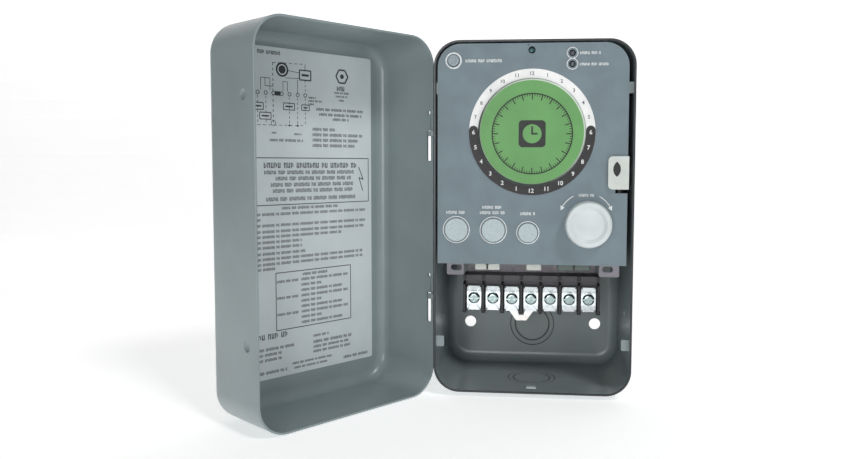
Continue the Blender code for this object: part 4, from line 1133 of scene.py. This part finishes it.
# Controls
def push_buttons():
    """Button caps with a rolled edge, and the concentric cap of the smallest one."""
    for name in BUTTON_NAMES:
        x, z, radius, front = button_of(name)
        _, _, flange_r, _, end = disc_of("button_" + name)
        mat = CAP
        profile = [(0.0, front + 0.3), (radius * 0.5, front + 0.22),
                   (radius - 1.2, front + 0.03), (radius - 1.0, front)]
        edge = 0.6
        if name == "manual":
            mat = CAP_SMALL
            profile = [(0.0, front + 0.3), (0.7, front + 0.3), (0.9, front), (1.4, front),
                       (1.5, front + 0.4), (1.9, front + 0.4), (2.0, front)]
            edge = 0.35
        profile += quarter(radius, front, edge)
        profile += [(radius, FLANGE_Y), (flange_r, FLANGE_Y), (flange_r, FLANGE_Y + 0.8),
                    (1.5, FLANGE_Y + 0.8), (1.5, end), (0.0, end)]
        piece(name + "_cap", turned(profile, x, z), mat, name + "_button",
              ("button_" + name,))


def adjust_knob():
    """Turning knob: flat land, sloped dish wall and a plain round skirt."""
    x, z, radius, front, back = disc_of("adjust_knob")
    profile = [(0.0, front + 0.95), (4.0, front + 1.0), (8.0, front + 1.1)]
    profile += [(8.5, front + 0.95), (9.9, front + 0.12), (10.3, front)]
    profile += quarter(radius - 0.5, front, 1.1, 6)
    profile += [(radius - 0.2, front + 2.2), (radius, back - 0.4), (radius - 0.3, back)]
    profile += [(3.3, back), (3.3, front + 2.4), (0.0, front + 2.4)]
    piece("knob_cap", turned(profile, x, z, 144), KNOB, "knob",
          ("adjust_knob",))


def status_lamps():
    """Round-nosed lamps in their panel holes."""
    for index, node in enumerate(LAMPS):
        x, z, flange_r, front, back = disc_of(node)
        radius = flange_r - 0.3
        profile = [(0.0, back), (flange_r, back), (flange_r, back - 1.0), (radius, back - 1.0)]
        profile += quarter(radius, front, radius, 10)[:0:-1] + [(0.0, front)]
        piece("lamp_lens_%d" % (index + 1), turned(profile, x, z, 48), LAMP, "base",
              (node,))


def slide_latch():
    """White slide latch with a lens-shaped finger slot."""
    low, high = span("panel_latch")
    back = FACE_Y - 0.3
    left = rounded_rect(low.x, high.x, low.z, high.z, 2.5, 8)
    outline = [(high.x, low.z), (high.x, high.z)]
    outline += [(x, z) for x, z in left if x < high.x - 2.6]
    rib = (high.x - 0.7, high.y, low.z + 1.4, high.z - 4.5)
    plate = add(prism(outline, low.y, back), [
        block(x0, rib[0], y0, *rib[1:])
        for x0, y0 in ((low.x + 4.5, back - 0.4), (low.x + 2.5, FLANGE_Y))])
    cx, cz = low.x + 4.7, high.z - 7.1
    swell = 5.3
    offset = swell - 2.05
    slot = arc(cx - offset, cz, swell, -52.0, 52.0, 16)
    slot += arc(cx + offset, cz, swell, 128.0, 232.0, 16)
    plate = cut(plate, [prism(slot, low.y - PAST, low.y + 0.8)])
    piece("latch_slide_plate", plate, LATCH, "latch", ("panel_latch",), 0.25, 3)
    # Dark sheet at the bottom of the finger slot: painted shade.
    floor = prism(slot, low.y + 0.72, low.y + 0.79)
    piece("latch_slot_shade", floor, SWITCH, "latch")


# Terminals
SIGNS = ((-1, -1), (-1, 1), (1, -1), (1, 1))
CLAMP_LIFT = 1.0
CREASE_X = 1.7
CREASE_Z = 3.7


def terminal_x(index):
    """Centre of one terminal, counted from the left."""
    return BLOCK_X + (index - (TERMINALS - 1) / 2) * PITCH


def barrier_x(index):
    """Middle of one barrier, counted from the left."""
    return BLOCK_X + (index - TERMINALS / 2) * PITCH


def terminal_block():
    """Moulded block: barriers, a pocket for each clamp and a slotted top strip whose slots are
    filled dark as painted shade.
    """
    low, high = BLOCK_LOW, BLOCK_HIGH
    front = BLOCK_FRONT_Y
    fin = [(front + 2.0, low.z + 1.5), (front, low.z), (low.y + 0.6, low.z),
           (low.y, low.z + 0.6), (low.y, high.z - 5.4), (low.y + 1.4, high.z - 3.9),
           (front + 2.0, high.z - 3.9)]
    walls = bmesh.new()
    cuts = []
    for x in map(barrier_x, range(TERMINALS + 1)):
        pull(walls, fin, x - BARRIER_T / 2, x + BARRIER_T / 2, "X")
        # Dark plug in each top-strip notch, standing 0.15 mm proud: painted shade of the notch.
        gather(walls, block(x - 0.85, x + 0.85, front - 1.75, front, high.z - 2.5, high.z - 0.3))
        gather(walls, block(x - 1.15, x + 1.15, low.y + 1.0, front + 1.0, low.z, low.z + 1.9))
        cuts.append(block(x - 0.9, x + 0.9, low.y, front - 0.6, high.z - 2.6, high.z + PAST))
    piece("terminal_barriers", walls, BARRIER, "base", ("terminal_block",), 0.12)
    half = (PITCH - BARRIER_T) / 2
    for x in map(terminal_x, range(TERMINALS)):
        cuts.append(block(x - half, x + half, low.y, front + 1.6, low.z - PAST, high.z - 5.6))
    body = block(low.x, high.x, front, high.y, low.z + 1.0, high.z)
    ridge = block(low.x, high.x, front - 1.6, front + 1.0, high.z - 3.6, high.z)
    body = cut(add(body, [ridge]), cuts)
    piece("terminal_body", body, BLOCK, "base", ("terminal_block",), 0.15)


def clamp_plate(index):
    """Clamping plate: flat middle, ends turned up along diagonal creases."""
    name = "terminal_plate_%d" % (index + 1)
    low, high = span(name)
    cx, cz = (low.x + high.x) / 2, (low.z + high.z) / 2
    hw, hh = (high.x - low.x) / 2, (high.z - low.z) / 2
    front = low.y + CLAMP_LIFT
    bm = bmesh.new()
    kinds = {"corner": (hw * 0.94, -CLAMP_LIFT, hh), "side": (hw, 0.0, CREASE_Z),
             "inner": (CREASE_X, 0.0, CREASE_Z)}
    layers = [{(kind, sx, sz): bm.verts.new((cx + sx * dx, y + dy, cz + sz * dz))
               for kind, (dx, dy, dz) in kinds.items() for sx, sz in SIGNS}
              for y in (front, high.y)]
    for verts in layers:
        for sz in (-1, 1):
            bm.faces.new([verts[key] for key in (("corner", -1, sz), ("corner", 1, sz),
                                                 ("inner", 1, sz), ("inner", -1, sz))])
        for sx, sz in SIGNS:
            bm.faces.new([verts[kind, sx, sz] for kind in ("corner", "side", "inner")])
        bm.faces.new([verts[key] for key in (
            ("side", -1, -1), ("inner", -1, -1), ("inner", 1, -1), ("side", 1, -1),
            ("side", 1, 1), ("inner", 1, 1), ("inner", -1, 1), ("side", -1, 1))])
    rim = (("corner", -1, -1), ("corner", 1, -1), ("side", 1, -1), ("side", 1, 1),
           ("corner", 1, 1), ("corner", -1, 1), ("side", -1, 1), ("side", -1, -1))
    bridge(bm, *[[verts[key] for key in rim] for verts in layers])
    tools = [prism(circle(cx, cz, 2.0, 40), low.y - PAST, high.y + PAST)]
    for sx, sz in SIGNS:
        groove = stroke(cx + sx * CREASE_X, cz + sz * CREASE_Z, cx + sx * hw,
                        cz + sz * (hh + 0.4), 0.5)
        tools.append(prism(groove, low.y - 0.5, front + 0.25))
    piece("clamp_plate_%d" % (index + 1), cut(bm, tools), STEEL, "base",
          (name,), 0.12, sharp=8.0)


def clamp_screw(index):
    """Binding-head screw with a straight slot and a cross recess."""
    name = "terminal_screw_%d" % (index + 1)
    x, z, radius, front, back = disc_of(name)
    head_back = front + 2.2
    profile = [(0.0, front)]
    profile += quarter(radius, front, 1.5, 8)
    profile += [(radius, head_back - 0.15), (radius - 0.15, head_back), (1.7, head_back)]
    y = head_back
    while y + 1.0 < back - 0.6:
        profile += [(1.7, y + 0.15), (1.42, y + 0.5), (1.7, y + 0.85)]
        y += 1.0
    profile += [(1.3, back), (0.0, back)]
    screw = turned(profile, x, z, 64)
    screw = cut(screw, [
        block(x - 4.5, x + 4.5, front - PAST, front + 1.0, z - 0.5, z + 0.5),
        block(x - 0.5, x + 0.5, front - PAST, front + 1.2, z - 2.0, z + 2.0)])
    piece("clamp_screw_%d" % (index + 1), screw, SCREW, "base", (name,), 0.1)


def terminal_link():
    """Flat U-shaped link that joins the third and fourth terminals."""
    low, high = span("terminal_link")
    a, b = terminal_x(2), terminal_x(3)
    mid = (a + b) / 2
    shoulder = low.z + 8.2
    outline = [
        (a - 3.3, high.z), (a - 3.3, shoulder), (mid - 3.1, low.z), (mid + 3.1, low.z),
        (b + 3.3, shoulder), (b + 3.3, high.z), (b - 3.3, high.z), (b - 3.3, shoulder),
        (mid + 1.3, low.z + 3.6), (mid - 1.3, low.z + 3.6), (a + 3.3, shoulder),
        (a + 3.3, high.z),
    ]
    link = prism(outline, low.y, high.y)
    hole_z = (BLOCK_LOW.z + BLOCK_HIGH.z) / 2 - 2.55
    link = cut(link, [prism(circle(x, hole_z, 2.0, 40), low.y - 1.0, high.y + 1.0)
                      for x in (a, b)])
    piece("link_strip", link, LINK, "base", ("terminal_link",), 0.25, 3)


# Refined CAD nodes: node, finish, slot, bevel and its segments
INNER_PARTS = (
    ("module_housing", HOUSING, "housing_plastic", 0.35, 2),
    ("control_board", BOARD, "board_green", 0.1, 2),
    ("main_board", BOARD_PALE, "board_pale", 0.1, 2),
    ("relay_1", RELAY_PALE, "relay_white", 0.6, 3),
    ("relay_2", RELAY_GREY, "relay_grey", 0.6, 3),
    ("film_capacitor", RELAY_PALE, "relay_white", 0.8, 4),
    ("transformer_core", CORE, "core_steel", 0.3, 2),
    ("transformer_coil", COIL, "coil_tape", 0.5, 2),
    ("smoothing_capacitor", SWITCH, "switch_black", 0.5, 3),
    ("backup_cell", STEEL, "plated_steel", 0.3, 2),
    ("board_connector", SWITCH, "switch_black", 0.2, 2),
    ("encoder_body", SWITCH, "switch_black", 0.25, 2),
)


def refined(node, mat, bevel, body="base", segments=2):
    """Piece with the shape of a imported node, its flat faces merged and its edges softened."""
    bm = bmesh.new()
    bm.from_mesh(frame["nodes"][node].data)
    bmesh.ops.scale(bm, verts=bm.verts, vec=(1.0 / MM, 1.0 / MM, 1.0 / MM))
    bmesh.ops.remove_doubles(bm, verts=bm.verts, dist=0.002)
    bmesh.ops.dissolve_limit(bm, angle_limit=radians(1.0), verts=bm.verts, edges=bm.edges)
    piece(node + "_shape", bm, mat, body, (node,), bevel, segments)


def relay_clips():
    """Dark T-shaped plate on the front of each relay: painted shade of a T-shaped slot."""
    for name in ("relay_1", "relay_2"):
        low, high = span(name)
        x = (low.x + high.x) / 2
        top = low.z + 4.6
        outline = [(x - 0.5, low.z + 0.3), (x + 0.5, low.z + 0.3), (x + 0.5, top - 1.6)]
        outline += [(x + 2.3, top - 0.9), (x + 2.3, top), (x - 2.3, top)]
        outline += [(x - 2.3, top - 0.9), (x - 0.5, top - 1.6)]
        # Painted shade: a thin dark T laid on the relay face.
        t_slot_shade = prism(outline, low.y - 0.5, low.y + 0.3)
        piece(name + "_t_slot_shade", t_slot_shade, BARRIER, "base", bevel=0.1)


def inner_parts():
    """Housing, boards and the components on them."""
    relay_clips()
    for node, mat, slot_name, bevel, segments in INNER_PARTS:
        refined(node, mat, bevel, segments=segments)
    refined("encoder_shaft", STEEL, 0.15, "knob")
    for name in BUTTON_NAMES:
        refined("switch_" + name, SWITCH, 0.2)


# Stage
def studio():
    """Pale floor that sweeps up behind the object, dim surroundings and soft lights."""
    low = -COVER_Z - FLOOR_GAP
    bend_y = FLOOR_BACK - FLOOR_SWEEP_R
    profile = [(FLOOR_FRONT, low), (bend_y, low)]
    profile += arc(bend_y, low + FLOOR_SWEEP_R, FLOOR_SWEEP_R, -90.0, 0.0, 16)
    profile.append((FLOOR_BACK, FLOOR_TOP))
    bm = bmesh.new()
    left, right = [[bm.verts.new(Vector((x, y, z)) * MM) for y, z in profile]
                   for x in (-FLOOR_HALF_W, FLOOR_HALF_W)]
    for i in range(len(profile) - 1):
        bm.faces.new((left[i], left[i + 1], right[i + 1], right[i]))
    floor = shown("floor", poured("floor", bm))
    finish = Finish("floor_paint", specular=0.1)
    finish.colour((0.9, 0.9, 0.9), (0.93, 0.93, 0.93), finish.noise(300.0))
    finish.gloss(0.85, 0.95, finish.noise(60.0))
    finish.shader.inputs["Emission Color"].default_value = WHITE
    finish.shader.inputs["Emission Strength"].default_value = FLOOR_GLOW
    floor.data.materials.append(finish.mat)
    world = bpy.data.worlds.new("surroundings")
    world.use_nodes = True
    sky = world.node_tree.nodes["Background"]
    sky.inputs["Color"].default_value = WHITE
    sky.inputs["Strength"].default_value = SURROUNDINGS
    bpy.context.scene.world = world
    for name, place, size, power in LIGHTS:
        light = bpy.data.lights.new(name, "AREA")
        light.size = size
        light.energy = power
        lamp = shown(name, light)
        lamp.location = place
        aim = Vector(LIGHT_AIM) - Vector(place)
        lamp.rotation_euler = aim.to_track_quat("-Z", "Y").to_euler()


def camera():
    """Camera at the viewing angle of the reference."""
    data = bpy.data.cameras.new("view")
    data.sensor_width = CAMERA_SENSOR
    data.lens = CAMERA_LENS
    data.shift_x, data.shift_y = CAMERA_SHIFT
    obj = shown("view", data)
    turn = Matrix.Rotation(-CAMERA_YAW, 4, "Z") @ Matrix.Rotation(pi / 2 - CAMERA_PITCH, 4, "X")
    turn @= Matrix.Rotation(CAMERA_ROLL, 4, "Z")
    obj.matrix_world = Matrix.Translation(Vector(CAMERA_AT) * MM) @ turn
    bpy.context.scene.camera = obj
    bpy.context.scene.view_settings.view_transform = "Standard"


for make in (base_shell, knockouts, cover_shell, label_sheet, label_print, face_plate,
             panel_lugs, panel_screw, panel_print, dial, push_buttons, adjust_knob,
             status_lamps, slide_latch, terminal_block):
    make()
for number in range(TERMINALS):
    clamp_plate(number)
    clamp_screw(number)
for make in (terminal_link, inner_parts, studio, camera):
    make()
